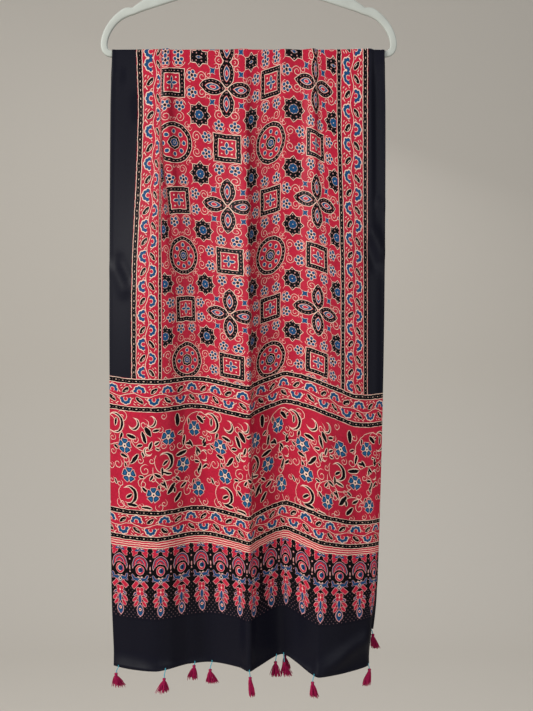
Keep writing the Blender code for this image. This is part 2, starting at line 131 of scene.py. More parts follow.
# One row for each tassel, in millimetres. weft: place along the hem. thread: its length.
# shift: sideways run of the thread. long: the tassel. lean: sideways run of its locks.
# spread: how far the outer locks stand off its middle line at the tips.
FRONT_TASSELS = (
    dict(weft=9, thread=9.5, shift=-4.0, long=21, lean=4.5, spread=10.0),
    dict(weft=93, thread=12.0, shift=-2.0, long=22, lean=-3.0, spread=10.0),
    dict(weft=140, thread=3.5, shift=-1.5, long=22, lean=-2.5, spread=8.0),
    dict(weft=169, thread=11.0, shift=-3.0, long=22, lean=3.0, spread=9.0),
    dict(weft=246, thread=8.0, shift=1.0, long=29, lean=3.0, spread=4.0),
    dict(weft=300, thread=9.0, shift=-1.5, long=24, lean=0.5, spread=7.5),
    dict(weft=317, thread=12.0, shift=1.0, long=22, lean=4.0, spread=8.5),
    dict(weft=386, thread=9.0, shift=-2.0, long=24, lean=3.0, spread=6.5),
    dict(weft=506, thread=6.0, shift=2.0, long=26, lean=-5.0, spread=5.5),
)
BACK_TASSELS = (
    dict(weft=6, thread=8.0, shift=-2.0, long=23, lean=-1.5, spread=5.0),
    dict(weft=72, thread=9.0, shift=1.0, long=23, lean=1.0, spread=7.0),
    dict(weft=134, thread=7.0, shift=-1.5, long=22, lean=-2.0, spread=6.0),
    dict(weft=198, thread=10.0, shift=1.5, long=22, lean=2.0, spread=7.0),
    dict(weft=252, thread=8.0, shift=-2.0, long=24, lean=-1.0, spread=5.5),
    dict(weft=324, thread=9.0, shift=1.0, long=23, lean=2.0, spread=6.5),
    dict(weft=388, thread=8.0, shift=-1.0, long=22, lean=-2.0, spread=6.0),
    dict(weft=452, thread=10.0, shift=1.5, long=23, lean=1.5, spread=7.0),
    dict(weft=514, thread=8.0, shift=3.0, long=23, lean=4.0, spread=6.0),
)

# The hanger's left half, from the bar round to the neck, in millimetres. x, z: the middle of
# the frame, z from the middle of the bar. wide: how wide the frame is there.
FRAME_STATIONS = (
    dict(x=-203.5, z=0.0, wide=10.0),
    dict(x=-209.8, z=1.2, wide=10.0),
    dict(x=-214.8, z=5.4, wide=10.0),
    dict(x=-216.8, z=12.5, wide=10.3),
    dict(x=-215.5, z=24.0, wide=10.6),
    dict(x=-210.8, z=36.0, wide=11.0),
    dict(x=-203.0, z=47.5, wide=11.6),
    dict(x=-193.0, z=57.0, wide=12.6),
    dict(x=-182.5, z=63.0, wide=14.0),
    dict(x=-173.0, z=64.6, wide=11.0),
    dict(x=-165.0, z=69.0, wide=13.0),
    dict(x=-154.0, z=74.5, wide=16.5),
    dict(x=-120.0, z=85.5, wide=16.5),
    dict(x=-80.0, z=98.0, wide=16.5),
    dict(x=-42.0, z=109.5, wide=18.0),
    dict(x=-18.0, z=115.5, wide=21.0),
)
FRAME_NECK = dict(x=0.0, z=118.0, wide=25.0)

HALF_FRAME = FRAME_THICK / 2.0
BAR_MIDDLE = BAR_TOP - BAR_HIGH / 2.0
CROWN_CENTRE = BAR_TOP - HALF_FRAME
CROWN_RISE = HALF_FRAME + CROWN_GAP + SOLID_THICK / 2.0
SIDE_REACH = HALF_FRAME + SIDE_GAP + SOLID_THICK / 2.0
CROWN_ARC = math.pi * (SIDE_REACH + CROWN_RISE) / 2.0
HEM_FROM, HEM_TO = 0.58, 0.93  # where the slide over the bar gives way to the hem's own line


def ease(share):
    share = min(max(share, 0.0), 1.0)
    return share * share * (3.0 - 2.0 * share)


def slopes(places, values):
    """Slope at each place for a curve that turns only where the values turn."""
    steps = [
        (values[i + 1] - values[i]) / (places[i + 1] - places[i])
        for i in range(len(places) - 1)
    ]
    found = [steps[0]]
    for before, after in zip(steps, steps[1:]):
        turns = before * after <= 0.0
        found.append(0.0 if turns else 2.0 * before * after / (before + after))
    found.append(steps[-1])
    return found


def read_curve(places, values, at):
    """The value at a place, on smooth cubic pieces through the values."""
    tilt = slopes(places, values)
    at = min(max(at, places[0]), places[-1])
    i = max(k for k in range(len(places) - 1) if places[k] <= at)
    span = places[i + 1] - places[i]
    t = (at - places[i]) / span
    keep = (1.0 + 2.0 * t) * (1.0 - t) ** 2
    lead = t * (1.0 - t) ** 2 * span
    come = t * t * (3.0 - 2.0 * t)
    trail = t * t * (t - 1.0) * span
    return keep * values[i] + lead * tilt[i] + come * values[i + 1] + trail * tilt[i + 1]


def read_folds(folds, column, weft, level=None):
    """One column of a fold table, anywhere across the cloth."""
    places = [row["weft"] * MM for row in folds]
    picked = [row[column] if level is None else row[column][level] for row in folds]
    return read_curve(places, [value * MM for value in picked], weft)


def corner_nip(weft, fallen):
    """How far the hem's corners are drawn in sideways."""
    share = ease((fallen - NIP_FROM) / (NIP_TO - NIP_FROM))
    moved = 0.0
    for row in CORNER_NIPS:
        near = ease(1.0 - abs(weft - row["weft"] * MM) / NIP_WIDE)
        moved += row["inward"] * MM * near * share
    return moved


class Sum:
    """A number in a material's nodes, which ordinary arithmetic adds nodes to."""

    def __init__(self, pen, socket):
        self.pen = pen
        self.socket = socket

    def __add__(self, other):
        return self.pen.number("ADD", self, other)

    def __sub__(self, other):
        return self.pen.number("SUBTRACT", self, other)

    def __rsub__(self, other):
        return self.pen.number("SUBTRACT", other, self)

    def __mul__(self, other):
        return self.pen.number("MULTIPLY", self, other)

    def __abs__(self):
        return self.pen.number("ABSOLUTE", self)

    def __lt__(self, other):
        return self.pen.number("LESS_THAN", self, other)

    def __gt__(self, other):
        return self.pen.number("GREATER_THAN", self, other)

    __radd__ = __add__
    __rmul__ = __mul__

    def near(self, value, half):
        """1 where the number is within half of the value."""
        return self.pen.number("COMPARE", self, value, half)

    def wrap(self, low, high):
        return self.pen.number("WRAP", self, high, low)

    def scaled(self, by, plus):
        return self.pen.number("MULTIPLY_ADD", self, by, plus)


class Pen:
    """Draws flat ornament with a material's maths nodes, in millimetres of flat cloth."""

    def __init__(self, made):
        self.tree = made.node_tree
        self.shader = self.tree.nodes["Principled BSDF"]

    def node(self, kind, **settings):
        made = self.tree.nodes.new(kind)
        for name, value in settings.items():
            setattr(made, name, value)
        return made

    def feed(self, socket, value):
        if isinstance(value, Sum):
            self.tree.links.new(value.socket, socket)
        elif isinstance(value, bpy.types.NodeSocket):
            self.tree.links.new(value, socket)
        else:
            socket.default_value = value

    def number(self, operation, *values):
        made = self.node("ShaderNodeMath", operation=operation)
        for socket, value in zip(made.inputs, values):
            self.feed(socket, value)
        return Sum(self, made.outputs[0])

    def low(self, *values):
        return self.gather("MINIMUM", values)

    def high(self, *values):
        return self.gather("MAXIMUM", values)

    def gather(self, operation, values):
        found = values[0]
        for value in values[1:]:
            found = self.number(operation, found, value)
        return found

    def vector(self, operation, *values):
        made = self.node("ShaderNodeVectorMath", operation=operation)
        for socket, value in zip(made.inputs, values):
            self.feed(socket, value)
        return made

    def point(self, x, y):
        made = self.node("ShaderNodeCombineXYZ")
        self.feed(made.inputs[0], x)
        self.feed(made.inputs[1], y)
        return made.outputs[0]

    def split(self, point):
        made = self.node("ShaderNodeSeparateXYZ")
        self.feed(made.inputs[0], point)
        return Sum(self, made.outputs[0]), Sum(self, made.outputs[1])

    def reach(self, point, x=0.0, y=0.0):
        """The distance from a point to a fixed place."""
        made = self.vector("DISTANCE", point, (x, y, 0.0))
        return Sum(self, made.outputs["Value"])

    def moved(self, point, x, y):
        return self.vector("SUBTRACT", point, (x, y, 0.0)).outputs[0]

    def polar(self, point):
        x, y = self.split(point)
        return self.reach(point), self.number("ARCTAN2", y, x)

    def leaf(self, point, tail, tip, wide=0.0):
        """Grows from 0 on the line from tail to tip: a slim leaf where it is small."""
        run = math.dist(tail, tip) + wide
        return self.reach(point, *tail) + self.reach(point, *tip) - run

    def lens(self, across, along, half_long, half_wide):
        """A pointed almond that lies along the first axis. Negative inside."""
        radius = (half_long**2 + half_wide**2) / (2.0 * half_wide)
        return self.reach(self.point(across, along + (radius - half_wide))) - radius

    def coil(self, point, start, end, grow, half):
        """A scroll that winds outwards between two radii. grow: its rise in a radian."""
        radius, angle = self.polar(point)
        turn = math.pi * grow
        line = (radius - angle.scaled(grow, start)).wrap(-turn, turn).near(0.0, half)
        return line * radius.near((start + end) / 2.0, (end - start) / 2.0)

    def clouds(self, place, scale, detail=2.0, space="2D"):
        """A soft noise at a place."""
        made = self.node("ShaderNodeTexNoise", noise_dimensions=space)
        self.feed(made.inputs["Vector"], place)
        made.inputs["Scale"].default_value = scale
        made.inputs["Detail"].default_value = detail
        return made

    def roughen(self, height, strength, distance=0.0002):
        """Lets a height bump the material's surface."""
        bump = self.node("ShaderNodeBump")
        bump.inputs["Strength"].default_value = strength
        bump.inputs["Distance"].default_value = distance
        self.feed(bump.inputs["Height"], height)
        self.feed(self.shader.inputs["Normal"], bump.outputs[0])

    def mixed(self, ground, ink, share):
        made = self.node("ShaderNodeMix", data_type="RGBA")
        self.feed(made.inputs[0], share)
        self.feed(made.inputs[6], ground)
        self.feed(made.inputs[7], ink)
        return made.outputs[2]


# The print's parts on the flat cloth, in millimetres up from each hem, and in from each edge.
TREES_FROM = 71.0
BANDS_FROM = 190.4
VINE_FROM = 236.4
UPPER_BANDS_FROM = 381.0
FIELD_BEGINS = 430.0
BORDER_FROM = 38.0
BORDER_TO = 89.0

FIELD_PITCH = 83.2
FIELD_FROM = 135.0  # the first column of large motifs
STAR_FROM = FIELD_FROM - FIELD_PITCH / 2.0
BORDER_PITCH = 46.0
ROWS_FROM = 49.5  # the first row of large motifs, below the bar
DASH_PITCH = 11.5


class Inks:
    """The places that each ink takes, gathered motif by motif."""

    def __init__(self, pen):
        self.pen = pen
        self.masks = {}
        self.ground = None

    def add(self, ink, mask):
        if ink in self.masks:
            mask = self.pen.high(self.masks[ink], mask)
        self.masks[ink] = mask

    def colour(self, ground, order):
        found = ground
        for ink in order:
            if ink in self.masks:
                found = self.pen.mixed(found, INK_COLOURS[ink], self.masks[ink])
        return found


def draw_square(pen, inks, kind, far, near, spot):
    """A black frame with dashes round a blue cross. far, near: the folded sides."""
    rim = abs(far - 16.3)
    inks.add("black", (rim < 3.1) * kind)
    inks.add("cream", rim.near(3.5, 0.5) * kind)
    dash = pen.high(abs(near.wrap(-2.7, 2.7)) - 0.75, rim - 0.5)
    inks.add("bead", (dash < 0.0) * kind)
    petal = pen.lens(far - 4.6, near, 4.3, 2.1)
    inks.add("cream", (petal < 0.8) * kind * (far < 9.6))
    inks.add("blue", (petal < 0.0) * kind)
    inks.add("cream", (pen.reach(spot, 7.7, 7.7) < 1.15) * kind)


def draw_rosette(pen, inks, kind, place, petals=5.0, ring=5.0, petal=2.35):
    """Blue dots round a black one, with a cream edge."""
    radius, angle = pen.polar(place)
    turn = math.pi / petals
    fold = pen.number("COSINE", angle.wrap(-turn, turn))
    square = radius * radius + ring * ring - radius * fold * (2.0 * ring)
    inks.add("cream", (square < (petal + 0.75) ** 2) * kind)
    inks.add("blue", (square < petal**2) * kind)
    inks.add("dark", (radius < 1.9) * kind)
    return radius


def draw_petals(pen, inks, kind, far, near, spot):
    """Four black almonds round a point, with small blue stars between them."""
    almond = pen.lens(far - 21.0, near, 19.4, 10.8)
    inks.add("cream", almond.near(0.15, 0.45) * kind)
    inks.add("black", almond.near(-2.9, 2.7) * kind)
    bead = pen.high(abs((far - 21.0).wrap(-2.6, 2.6)) - 0.6, abs(almond + 2.6) - 0.5)
    inks.add("bead", (bead < 0.0) * kind)
    eye = pen.lens(far - 21.0, near, 10.6, 4.6)
    inks.add("pale", (eye < 0.4) * kind)
    inks.add("iris", (eye < -0.3) * kind)
    core = pen.lens(far - 21.0, near, 4.4, 2.2)
    inks.add("edge", (core < 0.65) * kind)
    inks.add("core", (core < 0.0) * kind)
    x, y = pen.split(pen.moved(spot, 21.6, 21.6))
    x, y = abs(x), abs(y)
    star = pen.high(x, y) - pen.low(x, y) * 0.30
    inks.add("cream", (star < 3.4) * kind)
    inks.add("blue", (star < 2.9) * kind)


def draw_circle(pen, inks, kind, place):
    """A black ring with dashes round small flowers and a scalloped centre."""
    radius, angle = pen.polar(place)
    rim = abs(radius - 26.0)
    inks.add("black", (rim < 2.8) * kind)
    inks.add("cream", rim.near(3.2, 0.45) * kind)
    dash = (pen.number("COSINE", angle * 26.0) > 0.45) * (rim < 0.5)
    inks.add("bead", dash * kind)
    eighth = angle.wrap(-math.pi / 8.0, math.pi / 8.0)
    fold = pen.number("COSINE", eighth)
    square = radius * radius + 16.0**2 - radius * fold * (2.0 * 16.0)
    inks.add("cream", (square < 3.5**2) * kind)
    inks.add("blue", (square < 2.7**2) * kind)
    core = radius - abs(pen.number("COSINE", angle * 4.0)) * 0.9
    inks.add("cream", core.near(7.0, 2.2) * kind)
    inks.add("dark", core.near(7.0, 1.6) * kind)
    inks.add("blue", (core < 4.7) * kind)
    inks.add("pale", radius.near(1.9, 0.25) * kind)


def draw_star(pen, inks, place):
    """An eight-pointed black star with dots and a blue flower in it."""
    x, y = pen.split(place)
    x, y = abs(x), abs(y)
    edge = pen.low(pen.high(x, y), (x + y) * math.sqrt(0.5)) - 12.6
    radius, angle = pen.polar(place)
    inks.add("black", (edge < -0.3) * (radius > 6.8))
    inks.add("cream", edge.near(0.1, 0.45))
    petal = radius - abs(pen.number("COSINE", angle * 4.0)) * 0.9
    inks.add("cream", petal < 6.3)
    inks.add("blue", petal < 5.7)
    inks.add("pale", radius < 0.8)
    eighth = angle.wrap(-math.pi / 8.0, math.pi / 8.0)
    fold = pen.point(radius * pen.number("COSINE", eighth), radius * abs(pen.number("SINE", eighth)))
    inks.add("bead", pen.reach(fold, 14.3, 0.0) < 0.95)
    inks.add("bead", pen.reach(fold, 9.7, 4.0) < 0.9)
    tie = abs(x - y).near(0.0, 0.4) * radius.near(20.5, 3.0)
    inks.add("cream", tie)


def draw_field(pen, across, rows, inks):
    """The field: squares, circles and petals in turn, with stars between them."""
    half = FIELD_PITCH / 2.0
    from_column = across - FIELD_FROM
    x = from_column.wrap(-half, half)
    y = rows.wrap(-half, half)
    odd_column = (from_column + half).wrap(0.0, 2.0 * FIELD_PITCH) > FIELD_PITCH
    odd_row = (rows + half).wrap(0.0, 2.0 * FIELD_PITCH) > FIELD_PITCH
    other = abs(odd_column - odd_row)
    square = 1.0 - other
    petals = other * odd_column
    circle = other * odd_row
    fold_x, fold_y = abs(x), abs(y)
    far, near = pen.high(fold_x, fold_y), pen.low(fold_x, fold_y)
    spot = pen.point(fold_x, fold_y)
    side = pen.point(far, near)
    draw_square(pen, inks, square, far, near, spot)
    rosette = draw_rosette(pen, inks, square, pen.moved(side, 31.0, 11.6))
    inks.add("cream", rosette.near(9.4, 0.35) * square * (far < 29.0) * (far > 20.3))
    draw_petals(pen, inks, petals, far, near, spot)
    draw_circle(pen, inks, circle, pen.point(x, y))
    # Scrolls across the line between two motifs, and beside the small stars.
    inward = (half - far) * (other * 2.0 - 1.0)
    joined = pen.point(inward, near)
    inks.add("cream", pen.coil(pen.moved(joined, 4.6, 11.2), 1.6, 7.4, 0.62, 0.36))
    inks.add("cream", pen.coil(pen.moved(joined, 8.6, 3.6), 0.6, 3.0, 0.55, 0.34) * circle)
    inks.add("cream", pen.coil(pen.moved(side, 27.6, 15.2), 0.9, 4.6, 0.55, 0.34) * petals)
    inks.add("cream", pen.coil(pen.moved(side, 26.2, 22.4), 0.8, 4.4, 0.6, 0.34) * circle)
    star = pen.point((across - STAR_FROM).wrap(-half, half), (rows - half).wrap(-half, half))
    draw_star(pen, inks, star)


def draw_dashes(pen, inks, off, along, half):
    """A black band between cream lines, with dashes down its middle. off: from its middle."""
    rim = abs(off)
    inks.add("black", rim < half)
    inks.add("cream", rim.near(half + 0.4, 0.5))
    place = abs(along.wrap(-DASH_PITCH / 2.0, DASH_PITCH / 2.0))
    inks.add("pale", pen.high(place - 1.2, rim - 0.45) < 0.0)
    inks.add("bead", pen.high(abs(place - DASH_PITCH / 2.0) - 0.35, rim - 0.35) < 0.0)


def draw_vine(pen, inks, off, along):
    """Crescent flowers and black leaves on both sides of a wavy stem. off: from the stem's middle."""
    half = BORDER_PITCH / 2.0
    upper = off > 0.0
    rows = along + upper * half
    off_side = abs(off)
    wave = pen.number("SINE", along * (2.0 * math.pi / BORDER_PITCH))
    inks.add("cream", (off - wave * 2.6).near(0.0, 0.45))
    flower_y = rows.wrap(-half, half)
    leaf_y = (rows - half).wrap(-half, half)
    radius, angle = pen.polar(pen.point(off_side - 6.0, flower_y * 0.86))
    lobe = pen.number("COSINE", angle.wrap(-0.39, 0.39))
    square = radius * radius + 5.4**2 - radius * lobe * 10.8
    facing = abs(angle) < 1.95
    inks.add("cream", (square < 3.9**2) * facing)
    inks.add("red", (radius < 2.6))
    inks.add("cream", radius.near(2.9, 0.4) * (abs(angle) < 2.5))
    inks.add("blue", (square < 2.65**2) * facing * (radius > 3.3))
    leaf = pen.point(leaf_y, off_side)
    body = pen.leaf(leaf, (-5.0, 3.6), (5.2, 10.6))
    inks.add("halo", body < 2.1)
    inks.add("black", body < 1.25)
    inks.add("pale", pen.leaf(leaf, (-1.4, 4.6), (3.4, 7.8)) < 0.06)
    strokes = pen.low(
        pen.leaf(leaf, (7.0, 13.6), (11.5, 11.0)),
        pen.leaf(leaf, (-9.5, 12.0), (-6.0, 14.2)),
        pen.leaf(leaf, (-3.0, 13.0), (1.0, 14.6)),
        pen.leaf(leaf, (8.6, 4.0), (11.6, 7.2)),
        pen.leaf(leaf, (-11.5, 6.0), (-9.0, 3.6)),
        pen.leaf(leaf, (-8.4, 8.6), (-4.6, 10.8)),
        pen.leaf(leaf, (5.6, 13.4), (9.4, 14.8)),
    )
    inks.add("cream", strokes < 0.12)


# The scrolling vine's repeat, in millimetres of flat cloth, and up from the lower dashed band.
SCROLL_REPEAT = 169.0
SCROLL_FLOWERS = (
    dict(x=98, y=108),
    dict(x=146, y=116),
    dict(x=26, y=94),
    dict(x=124, y=64),
    dict(x=33, y=52),
    dict(x=152, y=26),
    dict(x=73, y=24),
)
# Moons with a black core round a black leaf: the outer round, and where the inner one sits in it.
SCROLL_MOONS = (
    dict(x=94, y=73, size=13.5, cut=(-4.6, -0.6), leaf=9.0),
    dict(x=34, y=22, size=13.5, cut=(-4.6, -0.6), leaf=9.0),
    dict(x=10, y=126, size=15.0, cut=(-3.9, -0.4), leaf=0.0),
    dict(x=42, y=127, size=9.0, cut=(-2.8, 1.8), leaf=0.0),
    dict(x=70, y=131, size=8.0, cut=(-2.4, 1.4), leaf=0.0),
    dict(x=165, y=76, size=8.0, cut=(-2.6, -0.6), leaf=0.0),
    dict(x=64, y=88, size=6.5, cut=(2.0, 0.4), leaf=0.0),
)
# Long cream stems: rounds, drawn between two bearings, with leaves on both sides.
SCROLL_STEMS = (
    dict(x=155, y=109, size=31.5, start=35, end=230, leaves=5),
    dict(x=146, y=188, size=98.0, start=268, end=300, leaves=4),
    dict(x=94, y=73, size=19.0, start=150, end=285, leaves=0),
    dict(x=34, y=22, size=19.0, start=140, end=265, leaves=0),
    dict(x=96, y=70, size=26.0, start=250, end=330, leaves=0),
    dict(x=140, y=58, size=19.0, start=-80, end=75, leaves=5),
    dict(x=74, y=34, size=21.0, start=-10, end=200, leaves=5),
    dict(x=60, y=112, size=24.0, start=190, end=300, leaves=4),
    dict(x=12, y=70, size=22.0, start=-40, end=60, leaves=4),
    dict(x=122, y=18, size=22.0, start=20, end=150, leaves=4),
    dict(x=96, y=60, size=24.0, start=170, end=260, leaves=2),
    dict(x=8, y=20, size=26.0, start=200, end=320, leaves=3),
)
# Wide scrolls, with their outer radius.
SCROLL_WIDE = (
    dict(x=22, y=136, size=9.5),
    dict(x=58, y=127, size=8.5),
    dict(x=118, y=94, size=8.0),
    dict(x=79, y=100, size=8.5),
    dict(x=56, y=40, size=9.0),
    dict(x=134, y=92, size=8.0),
    dict(x=14, y=66, size=8.0),
    dict(x=150, y=50, size=8.5),
    dict(x=104, y=32, size=8.0),
    dict(x=20, y=8, size=8.0),
    dict(x=60, y=60, size=9.0),
    dict(x=84, y=6, size=7.5),
    dict(x=132, y=24, size=8.0),
    dict(x=160, y=132, size=9.0),
)
# Single leaves, each from its stalk, with its bearing in degrees.
SCROLL_SPRIGS = (
    dict(x=114, y=140, lean=-88, long=17.0, wide=1.5),
    dict(x=60, y=123, lean=-55, long=15.0, wide=1.5),
    dict(x=55, y=116, lean=-70, long=17.0, wide=0.8),
    dict(x=10, y=122, lean=84, long=11.0, wide=0.7),
    dict(x=124, y=93, lean=77, long=14.0, wide=0.7),
    dict(x=136, y=98, lean=-58, long=11.0, wide=0.9),
    dict(x=157, y=103, lean=-20, long=7.0, wide=0.3),
    dict(x=30, y=110, lean=-12, long=15.0, wide=0.8),
    dict(x=72, y=118, lean=8, long=11.0, wide=0.6),
    dict(x=39, y=71, lean=50, long=15.0, wide=1.1),
    dict(x=75, y=98, lean=30, long=9.0, wide=0.5),
    dict(x=76, y=92, lean=-10, long=8.0, wide=0.4),
    dict(x=97, y=24, lean=52, long=19.0, wide=1.1),
    dict(x=109, y=11, lean=50, long=16.0, wide=1.0),
    dict(x=90, y=44, lean=-68, long=12.0, wide=0.5),
    dict(x=112, y=79, lean=14, long=19.0, wide=0.8),
    dict(x=152, y=134, lean=-35, long=15.0, wide=1.2),
    dict(x=30, y=8, lean=-4, long=17.0, wide=0.6),
    dict(x=88, y=57, lean=-12, long=16.0, wide=0.3),
    dict(x=54, y=5, lean=-6, long=17.0, wide=0.4),
    dict(x=12, y=36, lean=120, long=8.0, wide=0.7),
    dict(x=158, y=64, lean=-110, long=12.0, wide=0.8),
    dict(x=163, y=90, lean=40, long=12.0, wide=1.0),
)
SCROLL_COILS = (
    dict(x=90, y=139),
    dict(x=52, y=74),
    dict(x=104, y=92),
    dict(x=130, y=42),
    dict(x=140, y=9),
    dict(x=164, y=6),
    dict(x=107, y=46),
    dict(x=91, y=11),
    dict(x=117, y=6),
    dict(x=72, y=48),
    dict(x=6, y=84),
    dict(x=166, y=110),
    dict(x=3, y=40),
    dict(x=52, y=6),
    dict(x=122, y=132),
    dict(x=44, y=104),
    dict(x=17, y=38),
    dict(x=70, y=74),
    dict(x=2, y=62),
    dict(x=90, y=96),
    dict(x=120, y=112),
    dict(x=5, y=104),
    dict(x=150, y=80),
    dict(x=84, y=120),
    dict(x=141, y=72),
    dict(x=112, y=56),
    dict(x=28, y=74),
    dict(x=136, y=30),
    dict(x=88, y=34),
)


def nearest(pen, point, places, repeat):
    """The point seen from the nearest of the places, in a pattern that repeats sideways."""
    best, best_reach = None, None
    wide = (repeat / 2.0, 1000.0, 1000.0)
    for row in places:
        seen = pen.moved(point, row["x"], row["y"])
        seen = pen.vector("WRAP", seen, wide, tuple(-side for side in wide)).outputs[0]
        reach = pen.reach(seen)
        if best is None:
            best, best_reach = seen, reach
            continue
        choice = pen.node("ShaderNodeMix", data_type="VECTOR")
        pen.feed(choice.inputs[0], reach < best_reach)
        pen.feed(choice.inputs[4], best)
        pen.feed(choice.inputs[5], seen)
        best = choice.outputs[1]
        best_reach = pen.low(best_reach, reach)
    return best


def stem_leaves(stem, number):
    """The leaves of a stem, in turn on its outer and inner side, as (tail, tip)."""
    found = []
    for k in range(stem["leaves"]):
        share = (k + 0.5) / stem["leaves"]
        bearing = math.radians(stem["start"] + (stem["end"] - stem["start"]) * share)
        outward = 1.0 if (k + number) % 2 else -1.0
        size = stem["size"] + outward * 2.2
        tail = (stem["x"] + size * math.cos(bearing), stem["y"] + size * math.sin(bearing))
        lean = bearing + math.pi / 2.0 - outward * 0.9
        long = (7.5, 11.5, 9.0)[(k + number) % 3]
        tip = (tail[0] + long * math.cos(lean), tail[1] + long * math.sin(lean))
        found.append((tail, tip))
    return found


def draw_scrolling_vine(pen, inks, across, up):
    """Five-petalled blue flowers among black-cored moons, leaves and cream scrolls."""
    # The third repeat was set down a little lower and to the left.
    late = pen.low(pen.high(across.scaled(0.033, -10.6), 0.0), 1.0)
    across, up = across + late * 4.0, up + late * 3.5
    x = across.wrap(0.0, SCROLL_REPEAT)
    point = pen.point(x, up)
    stems = None
    for row in SCROLL_STEMS:
        seen = pen.moved(point, row["x"], row["y"])
        for shift in (0.0, SCROLL_REPEAT if row["x"] < 60 else -SCROLL_REPEAT):
            if shift and 30 < row["x"] < 125:
                continue
            place = pen.moved(seen, shift, 0.0) if shift else seen
            middle = math.radians((row["start"] + row["end"]) / 2.0)
            facing = pen.vector("DOT_PRODUCT", place, (math.cos(middle), math.sin(middle), 0.0))
            facing = Sum(pen, facing.outputs["Value"])
            edge = row["size"] * math.cos(math.radians((row["end"] - row["start"]) / 2.0))
            stem = pen.reach(place).near(row["size"], 0.42) * (facing > edge)
            stems = stem if stems is None else pen.high(stems, stem)
    inks.add("cream", stems)
    coil = nearest(pen, point, SCROLL_COILS, SCROLL_REPEAT)
    inks.add("cream", pen.coil(coil, 1.0, 5.6, 0.66, 0.40))
    for row in SCROLL_WIDE:
        seen = pen.moved(point, row["x"], row["y"])
        curl = pen.vector("MULTIPLY", seen, (-1.0 if row["x"] % 4 < 2 else 1.0, 1.0, 0.0))
        curl = curl.outputs[0]
        inks.add("cream", pen.coil(curl, 1.4, row["size"], 0.95, 0.42))
    leaves = []
    for number, stem in enumerate(SCROLL_STEMS):
        for tail, tip in stem_leaves(stem, number):
            shift = SCROLL_REPEAT * math.floor((tail[0] + tip[0]) / 2.0 / SCROLL_REPEAT)
            if not 2.0 < tip[1] < 142.0:
                continue
            leaves.append(((tail[0] - shift, tail[1]), (tip[0] - shift, tip[1]), 0.0))
    for row in SCROLL_MOONS:
        if row["leaf"]:
            tail = (row["x"] - 5.5, row["y"] - 5.0)
            leaves.append((tail, (tail[0] + row["leaf"], tail[1] + 6.0), 0.0))
    for row in SCROLL_SPRIGS:
        lean = math.radians(row["lean"])
        tail = (row["x"], row["y"])
        tip = (row["x"] + row["long"] * math.cos(lean), row["y"] + row["long"] * math.sin(lean))
        leaves.append((tail, tip, row["wide"] - 0.75))
    leaf = pen.leaf(point, *leaves[0])
    for tail, tip, wide in leaves[1:]:
        leaf = pen.low(leaf, pen.leaf(point, tail, tip, wide))
    inks.add("cream", leaf < 1.75)
    inks.add("black", leaf < 0.75)
    for row in SCROLL_MOONS:
        outer = pen.reach(point, row["x"], row["y"]) - row["size"]
        cut = row["cut"]
        inner = pen.reach(point, row["x"] + cut[0], row["y"] + cut[1]) - row["size"] * 0.86
        moon = pen.high(outer, inner * -1.0)
        inks.add("cream", moon < 0.45)
        inks.add("black", moon < -0.75)
    flower = nearest(pen, point, SCROLL_FLOWERS, SCROLL_REPEAT)
    radius, angle = pen.polar(flower)
    fifth = (angle + 0.95).wrap(-math.pi / 5.0, math.pi / 5.0)
    along = radius * pen.number("COSINE", fifth)
    side = abs(radius * pen.number("SINE", fifth))
    square = pen.high(along - 11.0, side - 5.0, radius - 11.9)
    petal = pen.high(square, side - along * 0.71, 3.0 - along)
    inks.add("clear", square < 1.2)
    inks.add("edge", square < 0.2)
    inks.add("petal", petal < -0.4)
    inks.add("shine", petal < -2.2)
    inks.add("heart", radius < 1.4)


TREE_PITCH = 34.65
TREE_FROM = 15.5
TREE_TOP = 180.0


